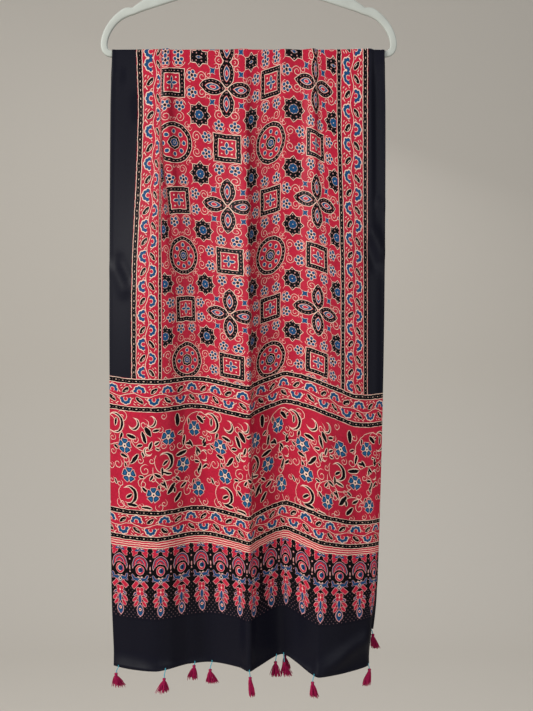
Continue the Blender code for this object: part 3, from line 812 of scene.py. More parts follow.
def draw_tree(pen, inks, across, down):
    """A small tree with a fan, a round fruit, wings, paired leaves and a drop at its foot."""
    half = TREE_PITCH / 2.0
    x = (across - TREE_FROM).wrap(-half, half)
    side = abs(x)
    point = pen.point(side, down)
    # The topmost spray.
    spray = pen.low(
        pen.leaf(point, (5.0, 4.4), (12.6, 0.8)),
        pen.leaf(point, (8.0, 5.0), (13.4, 7.4)) + 0.5,
        pen.leaf(point, (7.2, 6.6), (11.6, 12.4)),
        pen.leaf(point, (4.6, 6.4), (6.4, 9.6)) + 0.7,
    )
    inks.add("rim", spray < 2.2)
    inks.add("red", spray < 1.5)
    tuft = pen.leaf(point, (0.5, 2.4), (8.0, 4.6))
    inks.add("rim", tuft < 1.4)
    inks.add("blue", tuft < 0.8)
    inks.add("pale", pen.leaf(point, (1.5, 1.0), (4.5, 2.8)) < 0.16)
    # The fan over the fruit, in stripes that meet in a point.
    outer = 15.6 - pen.reach(point, -2.4, 26.4)
    fan = pen.low(outer, pen.reach(point, 0.0, 35.5) - 12.0)
    stripe = (outer - 0.8).wrap(0.0, 4.9)
    inks.add("rim", fan > 0.0)
    inks.add("blue", (stripe < 1.15) * (fan > 0.55))
    inks.add("red", stripe.near(3.1, 1.25) * (fan > 0.55))
    inks.add("dark", stripe.near(1.5, 0.3) * (fan > 0.55))
    # The fruit.
    fruit = pen.reach(point, 0.0, 33.6)
    inks.add("rim", fruit < 7.3)
    inks.add("red", fruit < 6.6)
    core = pen.reach(pen.point(x, down), 0.9, 33.2)
    inks.add("blue", core < 4.3)
    inks.add("pale", core.near(4.2, 0.5) * (x < 1.6))
    inks.add("dark", core.near(1.5, 0.8) * (x > 0.6))
    # The wings and the knot.
    wing = pen.low(
        pen.leaf(point, (1.5, 47.6), (9.6, 47.0)) - 0.9,
        pen.leaf(point, (9.4, 47.8), (13.2, 40.4)) - 0.3,
        pen.leaf(point, (10.0, 47.6), (14.0, 49.0)),
    )
    inks.add("rim", wing < 1.0)
    inks.add("blue", wing < 0.5)
    inks.add("pale", pen.leaf(point, (1.0, 44.4), (4.2, 43.4)) < 0.35)
    knot = side + abs(down - 49.5)
    inks.add("rim", knot < 5.4)
    inks.add("blue", knot < 4.7)
    inks.add("pale", knot < 3.3)
    inks.add("dark", knot < 1.9)
    # Red petals below the knot, drawn as short bars.
    out, low = side - 8.0, down - 56.0
    bar = pen.high(abs(out + low) - 7.6, abs(out - low) - 4.0)
    inks.add("rim", bar < 0.9)
    inks.add("red", bar < 0.0)
    inks.add("rim", pen.leaf(point, (8.2, 54.4), (10.8, 57.2)) < 0.22)
    # The red flower and its pale leaves.
    bloom = pen.reach(pen.point(side, abs(down - 65.4)), 3.1, 2.9)
    inks.add("rim", bloom < 3.7)
    inks.add("red", bloom < 2.9)
    inks.add("pale", pen.leaf(point, (0.0, 63.6), (0.0, 67.2)) < 0.35)
    pale = pen.leaf(point, (6.4, 67.6), (10.4, 71.6))
    inks.add("rim", pale.near(1.0, 0.5))
    inks.add("blue", pale < 0.5)
    # Two pairs of red leaves on a blue stem.
    pairs = pen.low(
        pen.leaf(point, (5.0, 74.0), (12.0, 80.2)),
        pen.leaf(point, (4.2, 80.6), (9.4, 87.4)),
    )
    inks.add("rim", pairs < 1.9)
    inks.add("red", pairs < 1.05)
    inks.add("rim", pairs < 0.10)
    stem = pen.leaf(point, (0.0, 71.0), (0.0, 82.0))
    inks.add("rim", stem < 1.6)
    inks.add("blue", stem < 1.0)
    ribs = pen.low(
        pen.leaf(point, (1.2, 71.6), (8.2, 76.6)),
        pen.leaf(point, (1.2, 79.4), (6.4, 83.4)),
    )
    inks.add("rim", ribs < 0.12)
    # The drop at the foot, with a notched edge.
    drop = pen.lens(down - 93.2, side, 9.0, 5.4) + pen.number("COSINE", down * 2.6) * 0.35
    inks.add("rim", drop < 0.6)
    inks.add("blue", drop < -0.5)
    drop_core = pen.reach(point, 0.0, 92.0)
    inks.add("dark", drop_core.near(3.2, 0.3))
    inks.add("pale", drop_core.near(1.9, 0.5))
    inks.add("core", drop_core < 1.5)
    # Beads between the trees.
    beads = pen.point(half - side, down)
    bead = pen.low(
        pen.leaf(beads, (0.0, 27.0), (0.0, 33.0)),
        pen.reach(beads, 0.0, 36.0) - 0.9,
        pen.reach(beads, 0.0, 18.0) - 0.9,
        pen.reach(beads, 0.0, 9.0) - 0.4,
        pen.reach(beads, 0.0, 43.0) - 0.3,
    )
    inks.add("rim", bead < 0.35)


BLACK = (0.0022, 0.0016, 0.0024, 1.0)
CREAM = (0.68, 0.48, 0.38, 1.0)
PINK = (0.58, 0.27, 0.26, 1.0)
RED = (0.44, 0.014, 0.040, 1.0)
DEEP_RED = (0.31, 0.009, 0.027, 1.0)
BLUE = (0.008, 0.053, 0.140, 1.0)
NAVY = (0.0042, 0.0042, 0.0090, 1.0)
INK_COLOURS = dict(
    halo=CREAM,
    black=BLACK,
    cream=CREAM,
    blue=BLUE,
    pale=CREAM,
    dark=BLACK,
    bead=(0.46, 0.22, 0.21, 1.0),
    iris=BLUE,
    core=RED,
    faint=(0.15, 0.085, 0.095, 1.0),
    clear=RED,
    edge=CREAM,
    petal=(0.006, 0.034, 0.095, 1.0),
    shine=(0.014, 0.092, 0.205, 1.0),
    heart=BLACK,
    rim=PINK,
    red=RED,
)
INK_ORDER = ("halo", "cream", "black", "bead", "red", "blue", "pale", "dark", "iris", "edge", "core")
SCROLL_ORDER = ("cream", "black", "clear", "edge", "petal", "shine", "heart")
TREE_ORDER = ("faint", "rim", "red", "blue", "pale", "dark", "core")


def add_piece(name, bm, finishes):
    mesh = bpy.data.meshes.new(name)
    bm.to_mesh(mesh)
    bm.free()
    for finish in finishes:
        mesh.materials.append(finish)
    made = bpy.data.objects.new(name, mesh)
    bpy.context.scene.collection.objects.link(made)
    return made


def new_material(name, roughness, metallic=0.0):
    made = bpy.data.materials.new(name)
    made.use_nodes = True
    shader = made.node_tree.nodes["Principled BSDF"]
    shader.inputs["Roughness"].default_value = roughness
    shader.inputs["Metallic"].default_value = metallic
    return made


def cloth_material(name, ground, draw, shine=0.07):
    """Printed silk. draw puts the print's inks down; its colours go over the ground."""
    made = new_material(name, 0.42)
    pen = Pen(made)
    shader = pen.shader
    shader.inputs["Specular IOR Level"].default_value = shine
    flat = pen.node("ShaderNodeUVMap", uv_map="Flat").outputs["UV"]
    place = pen.vector("SCALE", flat)
    place.inputs["Scale"].default_value = 1000.0
    place = place.outputs[0]
    drift = pen.clouds(place, 0.11)
    moved = pen.vector("MULTIPLY_ADD", drift.outputs["Color"], (2.2, 2.2, 0.0), place).outputs[0]
    across, along = pen.split(moved)
    across, along = across - 1.1, along - 1.1
    from_hem = pen.low(along, CLOTH_LENGTH / MM - along)
    colour = ground
    if draw is not None:
        inks = Inks(pen)
        order = draw(pen, inks, across, from_hem)
        if inks.ground is not None:
            colour = inks.ground
        colour = inks.colour(colour, order)
    uneven = pen.clouds(place, 0.35, 4.0)
    faded = pen.node("ShaderNodeHueSaturation")
    pen.feed(faded.inputs["Value"], Sum(pen, uneven.outputs[0]).scaled(0.55, 0.72))
    pen.feed(faded.inputs["Color"], colour)
    reverse = pen.node("ShaderNodeAttribute", attribute_name="reverse_side")
    dull = Sum(pen, reverse.outputs["Fac"]) * 0.35
    pen.feed(shader.inputs["Base Color"], pen.mixed(faded.outputs[0], (0.12, 0.03, 0.04, 1.0), dull))
    grain = pen.vector("MULTIPLY", place, (2.6, 0.5, 1.0)).outputs[0]
    pen.roughen(pen.clouds(grain, 1.0).outputs[0], 0.25)
    return made


def warm_ground(pen, inks, across, along):
    """The madder ground, a little deeper in soft patches."""
    patches = pen.clouds(pen.point(across, along), 0.03)
    inks.ground = pen.mixed(DEEP_RED, RED, patches.outputs[0])


def rows_below(from_hem):
    """Rows of motifs on the field, in millimetres of the print's own repeat."""
    below = FRONT_LENGTH / MM - ROWS_FROM - from_hem
    return below * below.scaled(2.87e-4, 1.0) * 0.901


def print_field(pen, inks, across, from_hem):
    warm_ground(pen, inks, across, from_hem)
    draw_field(pen, across, rows_below(from_hem), inks)
    return INK_ORDER


def print_border(pen, inks, across, from_hem):
    warm_ground(pen, inks, across, from_hem)
    rows = rows_below(from_hem) + 5.0
    left = across < 260.0
    edge = 260.0 - abs(across - 260.0)
    off = edge - 63.25
    inner = off > 0.0
    draw_dashes(pen, inks, abs(off) - 20.75, rows, 3.1 - inner * left)
    draw_vine(pen, inks, edge - 63.0, rows + left * (BORDER_PITCH / 2.0))
    return INK_ORDER


def print_bands(pen, inks, across, from_hem):
    warm_ground(pen, inks, across, from_hem)
    upper = from_hem > 300.0
    off = from_hem - upper.scaled(192.0, 213.3)
    draw_dashes(pen, inks, abs(off) - upper.scaled(1.3, 19.2), across, 3.0)
    draw_vine(pen, inks, off, across - upper.scaled(6.0, BORDER_PITCH / 2.0 - 1.0))
    return INK_ORDER


def print_scroll(pen, inks, across, from_hem):
    warm_ground(pen, inks, across, from_hem)
    draw_scrolling_vine(pen, inks, across, from_hem - 236.0)
    return SCROLL_ORDER


def print_trees(pen, inks, across, from_hem):
    down = TREE_TOP - from_hem
    draw_tree(pen, inks, across, down)
    striped = down < 0.0
    stripe = (from_hem - TREE_TOP).wrap(0.0, 3.4)
    inks.add("pale", (stripe < 1.2) * striped)
    raised = from_hem.wrap(-1.8, 1.8)
    other = ((from_hem + 1.8).wrap(-3.6, 3.6) > 0.0) * 3.4
    specks = pen.reach(pen.point((across + other).wrap(-3.4, 3.4), raised))
    inks.add("faint", (specks < 0.7) * (from_hem < 122.0) * (from_hem > 74.0))
    higher = pen.low(pen.high(from_hem.scaled(0.03, -2.13), 0.0), 1.0)
    inks.ground = pen.mixed(pen.mixed(NAVY, BLACK, higher), RED, striped)
    return TREE_ORDER


# Soft creases of the front fall, in millimetres across from the hanger's middle and down from the
# bar. wide: half the crease's width. high: how far it stands out, or in where it is negative.
CREASES = (
    dict(start=(-208, 34), end=(-184, 38), wide=7, high=1.6),
    dict(start=(-206, 310), end=(-178, 372), wide=9, high=2.2),
    dict(start=(-196, 302), end=(-170, 352), wide=7, high=-1.8),
    dict(start=(-164, 60), end=(-160, 110), wide=8, high=-2.0),
    dict(start=(-190, 672), end=(-176, 700), wide=8, high=1.8),
    dict(start=(-216, 908), end=(-90, 926), wide=10, high=5.5),
    dict(start=(60, 926), end=(210, 894), wide=13, high=5.5),
    dict(start=(-204, 520), end=(-150, 560), wide=12, high=-1.6),
    dict(start=(190, 12), end=(205, 30), wide=6, high=1.8),
    dict(start=(178, 256), end=(206, 316), wide=9, high=3.4),
    dict(start=(170, 276), end=(192, 336), wide=8, high=-2.8),
    dict(start=(186, 226), end=(206, 232), wide=6, high=2.2),
    dict(start=(52, 2), end=(50, 40), wide=5, high=2.2),
    dict(start=(60, 2), end=(57, 46), wide=5, high=-1.6),
    dict(start=(-128, 0), end=(-112, 250), wide=6, high=1.8),
    dict(start=(102, 0), end=(112, 96), wide=6, high=2.0),
    dict(start=(-80, 30), end=(-62, 210), wide=16, high=1.4),
    dict(start=(20, 60), end=(26, 330), wide=14, high=-1.6),
    dict(start=(130, 120), end=(146, 420), wide=14, high=1.8),
    dict(start=(-150, 700), end=(-60, 905), wide=20, high=2.6),
    dict(start=(60, 600), end=(96, 880), wide=16, high=2.4),
    dict(start=(150, 560), end=(176, 860), wide=14, high=-2.2),
)
BACK_CREASES = (
    dict(start=(-150, 30), end=(-120, 320), wide=12, high=2.0),
    dict(start=(-40, 300), end=(-66, 760), wide=18, high=2.2),
    dict(start=(70, 60), end=(90, 360), wide=12, high=-1.8),
    dict(start=(150, 420), end=(120, 820), wide=16, high=2.2),
    dict(start=(-190, 560), end=(-160, 620), wide=9, high=1.8),
)
CREASE_END = 0.25  # share of a crease over which it fades at each end
FREE_OF_BAR = 0.028  # creases that go inwards start below this

# Edges of the print's parts on the flat cloth, in millimetres from the left edge, and along from
# each hem. steps: the sheet's faces from the edge before.
ACROSS_EDGES = (
    dict(at=1.2, steps=1),
    dict(at=3.2, steps=1),
    dict(at=4.5, steps=1),
    dict(at=BORDER_FROM, steps=9),
    dict(at=BORDER_TO, steps=14),
    dict(at=431.0, steps=94),
    dict(at=482.0, steps=14),
    dict(at=515.5, steps=9),
    dict(at=516.8, steps=1),
    dict(at=518.8, steps=1),
    dict(at=520.0, steps=1),
)
ALONG_EDGES = (
    dict(at=1.2, steps=1),
    dict(at=3.2, steps=1),
    dict(at=4.5, steps=1),
    dict(at=TREES_FROM, steps=10),
    dict(at=BANDS_FROM, steps=19),
    dict(at=VINE_FROM, steps=7),
    dict(at=UPPER_BANDS_FROM, steps=23),
    dict(at=FIELD_BEGINS, steps=8),
)
FIELD_STEPS = 70
BACK_SHARE = 0.72  # faces along the back fall, beside the front's

# Slots of the cloth's materials
PLAIN, FIELD, BORDER, BANDS, SCROLL, TREES = range(6)


def spaced(edges):
    places = [0.0]
    for row in edges:
        start, end = places[-1], row["at"] * MM
        places += [start + (end - start) * (k + 1) / row["steps"] for k in range(row["steps"])]
    return places


def crease_height(creases, across, down):
    """How far the small creases lift the cloth at a hung place, in metres."""
    total = 0.0
    for row in creases:
        (x0, z0), (x1, z1) = row["start"], row["end"]
        run_x, run_z = x1 - x0, z1 - z0
        share = ((across - x0) * run_x + (down - z0) * run_z) / (run_x**2 + run_z**2)
        if not 0.0 < share < 1.0:
            continue
        off = math.hypot(across - x0 - share * run_x, down - z0 - share * run_z)
        if off > 3.0 * row["wide"]:
            continue
        fade = ease(share / CREASE_END) * ease((1.0 - share) / CREASE_END)
        total += row["high"] * math.exp(-((off / row["wide"]) ** 2)) * fade
    return total * MM


class Column:
    """One line of warp: the fold tables read once for all of its points."""

    def __init__(self, weft):
        self.weft = weft
        self.slide = read_folds(FRONT_FOLDS, "slide", weft)
        self.crown = FRONT_LENGTH + self.slide
        self.falls = {}
        for towards, folds in ((-1.0, FRONT_FOLDS), (1.0, BACK_FOLDS)):
            self.falls[towards] = dict(
                across=[read_folds(folds, "across", weft, k) for k in range(len(LEVELS))],
                out=[read_folds(folds, "out", weft, k) for k in range(len(LEVELS))],
                hem=read_folds(folds, "hem", weft),
            )

    def fall_point(self, fallen, towards):
        fall = self.falls[towards]
        if towards < 0.0:
            lower = ease((fallen - HEM_FROM) / (HEM_TO - HEM_FROM)) * (fall["hem"] - self.slide)
        else:
            lower = ease(fallen / HEM_TO) * fall["hem"]
        across = read_curve(LEVELS, fall["across"], fallen) + corner_nip(self.weft, fallen)
        out = read_curve(LEVELS, fall["out"], fallen)
        creases = CREASES if towards < 0.0 else BACK_CREASES
        lift = crease_height(creases, across / MM, fallen / MM)
        lift += 0.0009 * noise.noise(Vector((across * 16.0, fallen * 5.0, towards * 3.0)))
        if lift < 0.0:
            lift *= ease((fallen - FREE_OF_BAR) / 0.04)
        lift *= ease(fallen / 0.012)
        return Vector((across, towards * (out + lift), CROWN_CENTRE - fallen - lower))

    def point(self, warp):
        below = self.crown - warp
        half = CROWN_ARC / 2.0
        if below > half:
            return self.fall_point(below - half, -1.0)
        if below < -half:
            return self.fall_point(-below - half, 1.0)
        angle = math.pi * (0.5 + below / CROWN_ARC)
        reach = self.falls[-1.0]["out"][0]
        high = CROWN_RISE + reach - SIDE_REACH
        across = self.falls[-1.0]["across"][0]
        return Vector((across, reach * math.cos(angle), CROWN_CENTRE + high * math.sin(angle)))

    def places(self):
        """Places along the warp: the print's edges on both falls, and finer steps over the bar."""
        front = spaced(ALONG_EDGES)
        start, end = self.crown - CROWN_ARC / 2.0, self.crown + CROWN_ARC / 2.0
        run = start - front[-1]
        rise = [front[-1] + run * (k + 1) / FIELD_STEPS for k in range(FIELD_STEPS)]
        over = [start + CROWN_ARC * (k + 1) / CROWN_STEPS for k in range(CROWN_STEPS)]
        back = [CLOTH_LENGTH - place for place in reversed(front)]
        steps = round(FIELD_STEPS * BACK_SHARE)
        run = back[0] - end
        fall = [end + run * (k + 1) / steps for k in range(steps - 1)]
        return front + rise + over + fall + back


def print_slot(weft, from_hem):
    """The material of a face, by its middle on the flat cloth, in millimetres."""
    parts = ((TREES_FROM, PLAIN), (BANDS_FROM, TREES), (VINE_FROM, BANDS))
    parts += ((UPPER_BANDS_FROM, SCROLL), (FIELD_BEGINS, BANDS))
    for edge, slot in parts:
        if from_hem < edge:
            return slot
    inward = min(weft, CLOTH_WIDTH / MM - weft)
    if inward < BORDER_FROM:
        return PLAIN
    return BORDER if inward < BORDER_TO else FIELD


def turned(place, length):
    """1 on the turned edge, 0 past it."""
    edge = min(place, length - place)
    return 1.0 - ease((edge - TURN_WIDE * 0.7) / (TURN_WIDE * 0.3))


# The bake's layout: the outer sides of the two falls side by side, their inner sides below.
BAKE_PIXELS = 1024.0
BAKE_FALL = 0.955
OUTER_WIDE, OUTER_HIGH, INNER_WIDE, INNER_HIGH = 506.0, 880.0, 506.0, 128.0


def bake_place(weft, warp, on_back, inner):
    share_across = weft / CLOTH_WIDTH
    share_along = (CLOTH_LENGTH - warp if on_back else warp) / BAKE_FALL
    if inner:
        x = 4.0 + on_back * 510.0 + share_along * INNER_WIDE
        y = 4.0 + share_across * INNER_HIGH
    else:
        x = 4.0 + on_back * 510.0 + share_across * OUTER_WIDE
        y = 139.0 + share_along * OUTER_HIGH
    return x / BAKE_PIXELS, y / BAKE_PIXELS


def make_cloth(finishes):
    wefts = spaced(ACROSS_EDGES)
    columns = [Column(weft) for weft in wefts]
    warps = [column.places() for column in columns]
    last_column, last_row = len(columns) - 1, len(warps[0]) - 1
    crown_row = sum(row["steps"] for row in ALONG_EDGES) + FIELD_STEPS + CROWN_STEPS // 2
    bm = bmesh.new()
    bmesh.ops.create_grid(bm, x_segments=last_column, y_segments=last_row, size=1.0)
    column_of = bm.verts.layers.int.new("column")
    row_of = bm.verts.layers.int.new("row")
    for vertex in bm.verts:
        column = round((vertex.co.x + 1.0) / 2.0 * last_column)
        row = round((vertex.co.y + 1.0) / 2.0 * last_row)
        vertex[column_of], vertex[row_of] = column, row
        vertex.co = columns[column].point(warps[column][row])
    bm.normal_update()
    outward = {(v[column_of], v[row_of]): v.normal.copy() for v in bm.verts}
    outer = list(bm.faces)
    front_middle = min(outer, key=lambda face: face.calc_center_median().y)
    side = 1.0 if front_middle.normal.y < 0.0 else -1.0
    made = bmesh.ops.extrude_face_region(bm, geom=outer)["geom"]
    inner = {face for face in made if isinstance(face, bmesh.types.BMFace)}
    inner_verts = {item for item in made if isinstance(item, bmesh.types.BMVert)}
    for vertex in bm.verts:
        column, row = vertex[column_of], vertex[row_of]
        weft, warp = wefts[column], warps[column][row]
        turn = max(turned(weft, CLOTH_WIDTH) * 0.5, turned(warp, CLOTH_LENGTH))
        half = (SHEET_THICK + TURN_THICK * turn) / 2.0
        towards = -side if vertex in inner_verts else side
        vertex.co += outward[column, row] * half * towards
    flat = bm.loops.layers.uv.new("Flat")
    baked = bm.loops.layers.uv.new("OFBake")
    reverse = bm.faces.layers.float.new("reverse_side")
    for face in bm.faces:
        rows = [vertex[row_of] for vertex in face.verts]
        places = [(wefts[v[column_of]], warps[v[column_of]][v[row_of]]) for v in face.verts]
        weft = sum(place[0] for place in places) / len(places) / MM
        warp = sum(place[1] for place in places) / len(places) / MM
        face.material_index = print_slot(weft, min(warp, CLOTH_LENGTH / MM - warp))
        face.smooth = True
        is_inner = face in inner
        face[reverse] = 1.0 if is_inner else 0.0
        on_back = sum(rows) / len(rows) > crown_row
        for loop, place in zip(face.loops, places):
            loop[flat].uv = place
            loop[baked].uv = bake_place(*place, on_back, is_inner)
    bmesh.ops.recalc_face_normals(bm, faces=bm.faces)
    return add_piece("ajrakh_stole", bm, finishes)


def tube(bm, route, sides, ring_of, closed=False):
    """A tube along a route, one ring for each of its points."""
    loops = []
    for i, _ in enumerate(route):
        ring = bmesh.ops.create_circle(bm, segments=sides, radius=1.0)["verts"]
        edges = list({edge for vertex in ring for edge in vertex.link_edges})
        for vertex in ring:
            angle = math.atan2(vertex.co.y, vertex.co.x)
            vertex.co = ring_of(i, math.cos(angle), math.sin(angle))
        loops.append(edges)
    for i in range(len(loops) - (0 if closed else 1)):
        bmesh.ops.bridge_loops(bm, edges=loops[i] + loops[(i + 1) % len(loops)])
    if not closed:
        for loop in (loops[0], loops[-1]):
            bmesh.ops.holes_fill(bm, edges=loop, sides=sides)


def finish_round(bm, name, finish):
    bmesh.ops.recalc_face_normals(bm, faces=bm.faces)
    made = add_piece(name, bm, [finish])
    made.data.shade_smooth()
    made.data.set_sharp_from_angle(angle=math.radians(55.0))
    return made


def frame_stations():
    """The frame's middle line and width, with smooth steps between the table's rows."""
    left = [(row["x"], row["z"], row["wide"]) for row in FRAME_STATIONS]
    rows = left + [(FRAME_NECK["x"], FRAME_NECK["z"], FRAME_NECK["wide"])]
    rows += [(-x, z, wide) for x, z, wide in reversed(left)]
    found = []
    count = len(rows)
    for i in range(count):
        before, here, there, after = (rows[(i + k) % count] for k in (-1, 0, 1, 2))
        steps = 1 if i == count - 1 else FRAME_STEPS
        for k in range(steps):
            t = k / steps
            spans = [
                max(math.dist(a[:2], b[:2]), 0.1)
                for a, b in ((before, here), (here, there), (there, after))
            ]
            point = []
            for a, b, c, d in zip(before, here, there, after):
                lead = ((c - b) / spans[1] * spans[0] + (b - a) / spans[0] * spans[1]) / (
                    spans[0] + spans[1]
                )
                trail = ((d - c) / spans[2] * spans[1] + (c - b) / spans[1] * spans[2]) / (
                    spans[1] + spans[2]
                )
                lead, trail = lead * spans[1], trail * spans[1]
                point.append(
                    b * (1 + 2 * t) * (1 - t) ** 2
                    + lead * t * (1 - t) ** 2
                    + c * t * t * (3 - 2 * t)
                    + trail * t * t * (t - 1)
                )
            found.append([value * MM for value in point])
    return found


def make_frame(finish):
    stations = frame_stations()

    def ring_of(i, c, s):
        x, z, wide = stations[i]
        before, after = stations[i - 1], stations[(i + 1) % len(stations)]
        run = Vector((after[0] - before[0], 0.0, after[1] - before[1])).normalized()
        side = Vector((-run.z, 0.0, run.x))
        square = max(abs(c), abs(s)) ** 0.6
        middle = Vector((x, 0.0, BAR_MIDDLE + z))
        return middle + side * (c / square * wide / 2.0) + Vector((0, s / square * HALF_FRAME, 0))

    bm = bmesh.new()
    tube(bm, stations, FRAME_SIDES, ring_of, closed=True)
    return finish_round(bm, "moulded_hanger", finish)


def hook_route():
    """The wire's middle line: up from the neck, out to one side, and round over the top."""
    centre = WIRE_RADIUS - HOOK_RADIUS
    start = math.radians(HOOK_START)
    foot = Vector((0.0, 0.0, BAR_MIDDLE + (FRAME_NECK["z"] + FRAME_NECK["wide"] / 2.0) * MM))
    foot.z += FIT_GAP
    rise = Vector((0.0, 0.0, centre - HOOK_RADIUS * 1.55))
    meet = Vector((HOOK_RADIUS * math.cos(start), 0.0, centre + HOOK_RADIUS * math.sin(start)))
    aim = Vector((-math.sin(start), 0.0, math.cos(start)))
    points = [foot, foot.lerp(rise, 0.5)]
    reach = (meet - rise).length * 1.1
    turns = 16
    for k in range(turns):
        t = k / turns
        keep, come = (1 + 2 * t) * (1 - t) ** 2, t * t * (3 - 2 * t)
        lead, trail = t * (1 - t) ** 2 * reach, t * t * (t - 1) * reach
        points.append(keep * rise + come * meet + lead * Vector((0, 0, 1)) + trail * aim)
    count = 66
    for k in range(count + 1):
        angle = start + math.radians(HOOK_END - HOOK_START) * k / count
        points.append(
            Vector((HOOK_RADIUS * math.cos(angle), 0.0, centre + HOOK_RADIUS * math.sin(angle)))
        )
    return points


def make_hook(finish):
    route = hook_route()

    def ring_of(i, c, s):
        before, after = route[max(i - 1, 0)], route[min(i + 1, len(route) - 1)]
        run = (after - before).normalized()
        side = Vector((-run.z, 0.0, run.x))
        end = 0.45 if i == len(route) - 1 else 1.0
        radius = WIRE_RADIUS * end
        return route[i] + side * (c * radius) + Vector((0.0, s * radius, 0.0))

    bm = bmesh.new()
    tube(bm, route, WIRE_SIDES, ring_of)
    return finish_round(bm, "wire_hook", finish)


THREAD_PLY = 0.00045
THREAD_TURN = 0.0030  # length of one turn of the two plies
STRANDS = 60
STRAND_RADIUS = 0.00052
STRAND_STEPS = 6
HEAD_RADIUS = 0.0025
HEAD_HIGH = 0.0050
TASSEL_DEPTH = 0.65
STITCH_ABOVE = 0.0030


def make_thread(name, stitch, edge, knot, finish):
    """Two twisted plies: from a stitch on the hem's face, over its edge, and down to the tassel."""
    corners = [stitch, edge, edge.lerp(knot, 0.5) + Vector(((knot.x - edge.x) * 0.2, 0, 0)), knot]
    runs = [(b - a).length for a, b in zip(corners, corners[1:])]
    route, gone = [], []
    total = 0.0
    for (a, b), run in zip(zip(corners, corners[1:]), runs):
        steps = max(3, round(run / 0.0007))
        for k in range(steps):
            route.append(a.lerp(b, k / steps))
            gone.append(total + run * k / steps)
        total += run
    route.append(corners[-1])
    gone.append(total)
    bm = bmesh.new()
    for ply in (0.0, math.pi):

        def ring_of(i, c, s):
            turn = 2.0 * math.pi * gone[i] / THREAD_TURN + ply
            middle = route[i] + Vector((math.cos(turn), math.sin(turn), 0.0)) * THREAD_PLY * 0.9
            return middle + Vector((c * THREAD_PLY, s * THREAD_PLY, 0.0))

        tube(bm, route, 6, ring_of)
    return finish_round(bm, name, finish)


def make_tassel(name, top, row, finish, rng):
    """A knotted head with a wound neck, and a skirt of loose yarn."""
    bm = bmesh.new()
    profile = ((0.0, 0.25), (0.5, 0.75), (1.3, 1.02), (2.3, 1.0), (2.9, 0.78), (3.3, 0.92))
    profile += ((3.7, 0.80), (4.1, 0.94), (4.5, 0.82), (4.9, 1.0), (5.4, 0.6))

    def head_ring(i, c, s):
        down, wide = profile[i]
        radius = HEAD_RADIUS * wide
        return top + Vector((c * radius, s * radius, -down * MM))

    tube(bm, profile, 12, head_ring)
    for number in range(STRANDS):
        ring = math.sqrt((number + 0.5) / STRANDS)
        angle = number * 2.399963 + rng.uniform(-0.25, 0.25)
        length = row["long"] * rng.uniform(0.80, 1.0) * MM
        spread = row["spread"] * ring * rng.uniform(0.9, 1.25) * MM
        lean = row["lean"] * rng.uniform(0.85, 1.15) * MM
        curl = rng.uniform(-0.9, 0.9) * MM
        phase = rng.uniform(0.0, math.pi)
        route = []
        for k in range(STRAND_STEPS + 1):
            t = k / STRAND_STEPS
            out = HEAD_RADIUS * 0.8 * ring + (spread - HEAD_RADIUS * 0.8 * ring) * t**0.75
            side = curl * math.sin(math.pi * t * 1.6 + phase) * t
            route.append(
                top
                + Vector(
                    (
                        lean * t + out * math.cos(angle) + side,
                        out * math.sin(angle) * TASSEL_DEPTH + side * 0.5,
                        -HEAD_HIGH * 0.9 - (length - HEAD_HIGH * 0.9) * t,
                    )
                )
            )

        def strand_ring(i, c, s):
            thin = 0.55 if i == STRAND_STEPS else 1.0
            radius = STRAND_RADIUS * thin
            return route[i] + Vector((c * radius, s * radius, 0.0))

        tube(bm, route, 4, strand_ring)
    return finish_round(bm, name, finish)


def hang_tassels(side, tassels, warp, thread_finish, tassel_finish, rng):
    """The threads and tassels of one hem, with the parts that they stand for hidden."""
    found = []
    towards = -1.0 if side == "front" else 1.0
    for number, row in enumerate(tassels, start=1):
        column = Column(row["weft"] * MM)
        hem = column.point(warp)
        into = 1.0 if side == "front" else -1.0
        above = column.point(warp + into * STITCH_ABOVE)
        face = Vector((0.0, towards * ((SHEET_THICK + TURN_THICK) / 2.0 + THREAD_PLY * 2.2), 0.0))
        knot = hem + Vector((row["shift"], 0.0, -row["thread"])) * MM
        edge = hem + face * 0.9
        thread = make_thread(
            f"{side}_twisted_thread_{number}", above + face, edge, knot, thread_finish
        )
        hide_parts(f"{side}_thread_{number}")
        top = knot + Vector((0.0, 0.0, 0.0006))
        tassel = make_tassel(f"{side}_yarn_tassel_{number}", top, row, tassel_finish, rng)
        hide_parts(f"{side}_tassel_{number}")
        found += [thread, tassel]
    return found


def yarn_material(name, colour, light, roughness, scale):
    """Spun yarn: fibres along it, with lighter and darker strands."""
    made = new_material(name, roughness)
    pen = Pen(made)
    shader = pen.shader
    shader.inputs["Specular IOR Level"].default_value = 0.15
    place = pen.node("ShaderNodeTexCoord").outputs["Object"]
    drawn = pen.vector("MULTIPLY", place, (1.0, 1.0, 0.18)).outputs[0]
    fibres = pen.clouds(drawn, scale, 3.0, "3D")
    share = Sum(pen, fibres.outputs[0]).scaled(2.2, -0.6)
    pen.feed(shader.inputs["Base Color"], pen.mixed(colour, light, share))
    pen.roughen(fibres.outputs[0], 0.5)
    return made


def moulded_material():
    """Pale moulded plastic with a fine matt grain and faint scuffs."""
    made = new_material("pale_moulded_plastic", 0.52)
    pen = Pen(made)
    shader = pen.shader
    place = pen.node("ShaderNodeTexCoord").outputs["Object"]
    scuffs = pen.clouds(place, 38.0, 5.0, "3D")
    share = Sum(pen, scuffs.outputs[0]).scaled(1.6, -0.3)
    ivory, worn = (0.42, 0.445, 0.405, 1.0), (0.35, 0.365, 0.33, 1.0)
    pen.feed(shader.inputs["Base Color"], pen.mixed(worn, ivory, share))
    pen.feed(shader.inputs["Roughness"], Sum(pen, scuffs.outputs[0]).scaled(0.3, 0.38))
    pen.roughen(pen.clouds(place, 1400.0, 2.0, "3D").outputs[0], 0.25)
    return made


